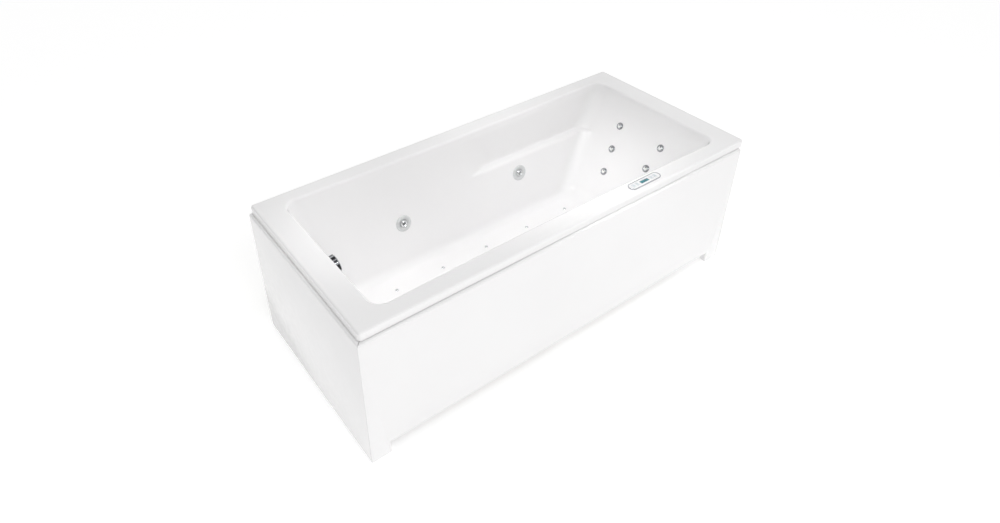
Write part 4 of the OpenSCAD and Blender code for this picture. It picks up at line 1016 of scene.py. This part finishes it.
casing_place = at(pump_x, -238, pump_z) @ to_back
volute = [(20, 6, 0), (20, -24, 0.5), (25.6, -24, 0.6), (25.8, -2, 2), (40, -0.4, 3), (58, 0.4, 3),
          (66, 4, 2), (69.8, 8, 1.5), (69.8, 16, 0.6), (67.6, 17, 0.6), (67.6, 40, 0.6),
          (69.8, 41, 0.6), (69.8, 52, 2), (64, 57.6, 2), (13, 57.8, 0.4), (13, 51, 0), (62, 51, 1),
          (62, 6, 1)]
volute_bm = lathe(volute, 96, True)
for k in range(12):
    add(volute_bm, block((7, 2.4, 32), turned(30 * k + 15) @ at(66.2, 0, 28), 0.7))
    add(volute_bm, lathe([(0, 59.5, 0), (3.2, 59.3, 0.5), (3.5, 57, 0)], 18),
        turned(30 * k) @ at(60, 0, -1.6), 1)
for k in range(6):
    add(volute_bm, block((34, 2.4, 7), turned(60 * k + 30) @ at(42, 0, 0.4), 0.8))
volute_bm.transform(casing_place)
outlet = [(14, 10, 0), (14, 107, 0.4), (17.8, 107, 0.5), (17.8, 10, 0)]
add(volute_bm, lathe(outlet, 48, True), at(pump_x + 48, -209, pump_z))
add(volute_bm, block((90, 42, 20), at(pump_x, -209, tray_top + 10), 3))
finish_piece("pump_body", volute_bm, "tub", ["pump_casing"], [moulded, zinc])
coat_node(hose_grey, "pump_impeller")

# ---- Blower ----
# A round black fan that pushes air into the floor nozzles. It stands on four lugs,
# and draws its air through slots in its side.
blower_place = at(750, 91, tray_top)
drum = [(0, 0, 0), (54, 0, 0.8), (54.8, 2, 0.8), (54.8, 34, 0.8), (53, 36, 0.5), (53, 40, 0.5),
        (54.8, 42, 0.8), (54.8, 98, 3), (50, 107, 5), (41, 119.8, 2), (37, 119.8, 0.6),
        (35, 112, 0.8), (9, 112, 0.8), (8, 119, 1), (0, 119.4, 0)]
blower_drum, blower = lathe(drum, 96), bmesh.new()
for k in range(4):
    add(blower, block((15, 17, 4.6), turned(90 * k + 45) @ at(56.6, 0, 2.4), 0.9))
    add(blower, lathe([(0, 7.4, 0), (4, 7.2, 0.5), (4.4, 4, 0)], 20),
        turned(90 * k + 45) @ at(60, 0, 0), 1)
for k in range(12):
    add(blower, block((29, 2, 8), turned(30 * k) @ at(21.6, 0, 115), 0.6))
port = [(11.9, 40, 0), (11.9, 78.6, 0.4), (14.8, 78.6, 0.6), (14.8, 74, 0.4), (14, 73, 0.4),
        (14, 60, 0.6), (17, 54, 1.5), (17, 40, 0)]
add(blower, lathe(port, 40, True), at(0, 0, 28) @ Matrix.Rotation(-math.pi / 2, 4, "Y"))
blower_drum.transform(blower_place)
blower.transform(blower_place)
slits = bmesh.new()
for k in range(30):
    add(slits, block((10, 3.2, 44), blower_place @ turned(12 * k) @ at(55, 0, 72)))
slits.transform(tub_place)
finish_piece("blower", blower_drum, "tub", ["air_blower"],
             [moulded, zinc], cutter=cutter_from(slits), uncut=blower)

# ---- Control box ----
# A grey moulded box for the electronics, with an overlapping lid held by four screws
# and a gland for the mains cable.
box_x, box_y, box_l, box_w, box_h = 680, 158, 110, 80, 110
box_grey = Finish("grey_box_plastic", {"IOR": 1.5})
box_grey.mottle(box_grey.noise(12.0, 4.0), (0.52, 0.53, 0.54), (0.60, 0.61, 0.62),
                box_grey.noise(240.0), 0.34, 0.5)
box_grey.raise_by(box_grey.cells(900.0), 0.00008)
lid_x, lid_y, lid_z = box_x + box_l / 2, box_y + box_w / 2, tray_top + box_h
case = block((box_l, box_w, box_h - 12), at(lid_x, lid_y, tray_top + (box_h - 12) / 2), 3)
add(case, block((box_l + 6, box_w + 4, 14), at(lid_x, lid_y, lid_z - 7), 2.2))
add(case, block((box_l - 20, box_w - 22, 1.6), at(lid_x, lid_y, lid_z - 0.9), 0.7))
lid_screw = [(0, -0.6, 0), (1.4, -0.5, 0.2), (1.6, 0.2, 0.2), (4, 0.1, 0.4), (4.2, -2, 0)]
for sx, sy in ((-1, -1), (1, -1), (-1, 1), (1, 1)):
    add(case, lathe(lid_screw, 24), at(lid_x + sx * 48, lid_y + sy * 33, lid_z), 1)
for k in range(5):
    add(case, block((70, 1.6, 2.4), at(lid_x - 4, box_y + box_w, tray_top + 24 + 12 * k), 0.7))
gland_place = at(box_x + box_l - 2, 198, 151) @ Matrix.Rotation(math.pi / 2, 4, "Y")
add(case, hex_nut(13, 7.8, 0.8), gland_place @ at(0, 0, 4), 2)
gland = [(4.5, 0, 0), (4.5, 23.8, 0.4), (7.4, 23.8, 1.6), (9, 17, 0.6), (9, 0, 0)]
add(case, lathe(gland, 40, True), gland_place, 2)
finish_piece("electronics_box", case, "tub", ["control_box"],
             [box_grey, zinc, moulded])
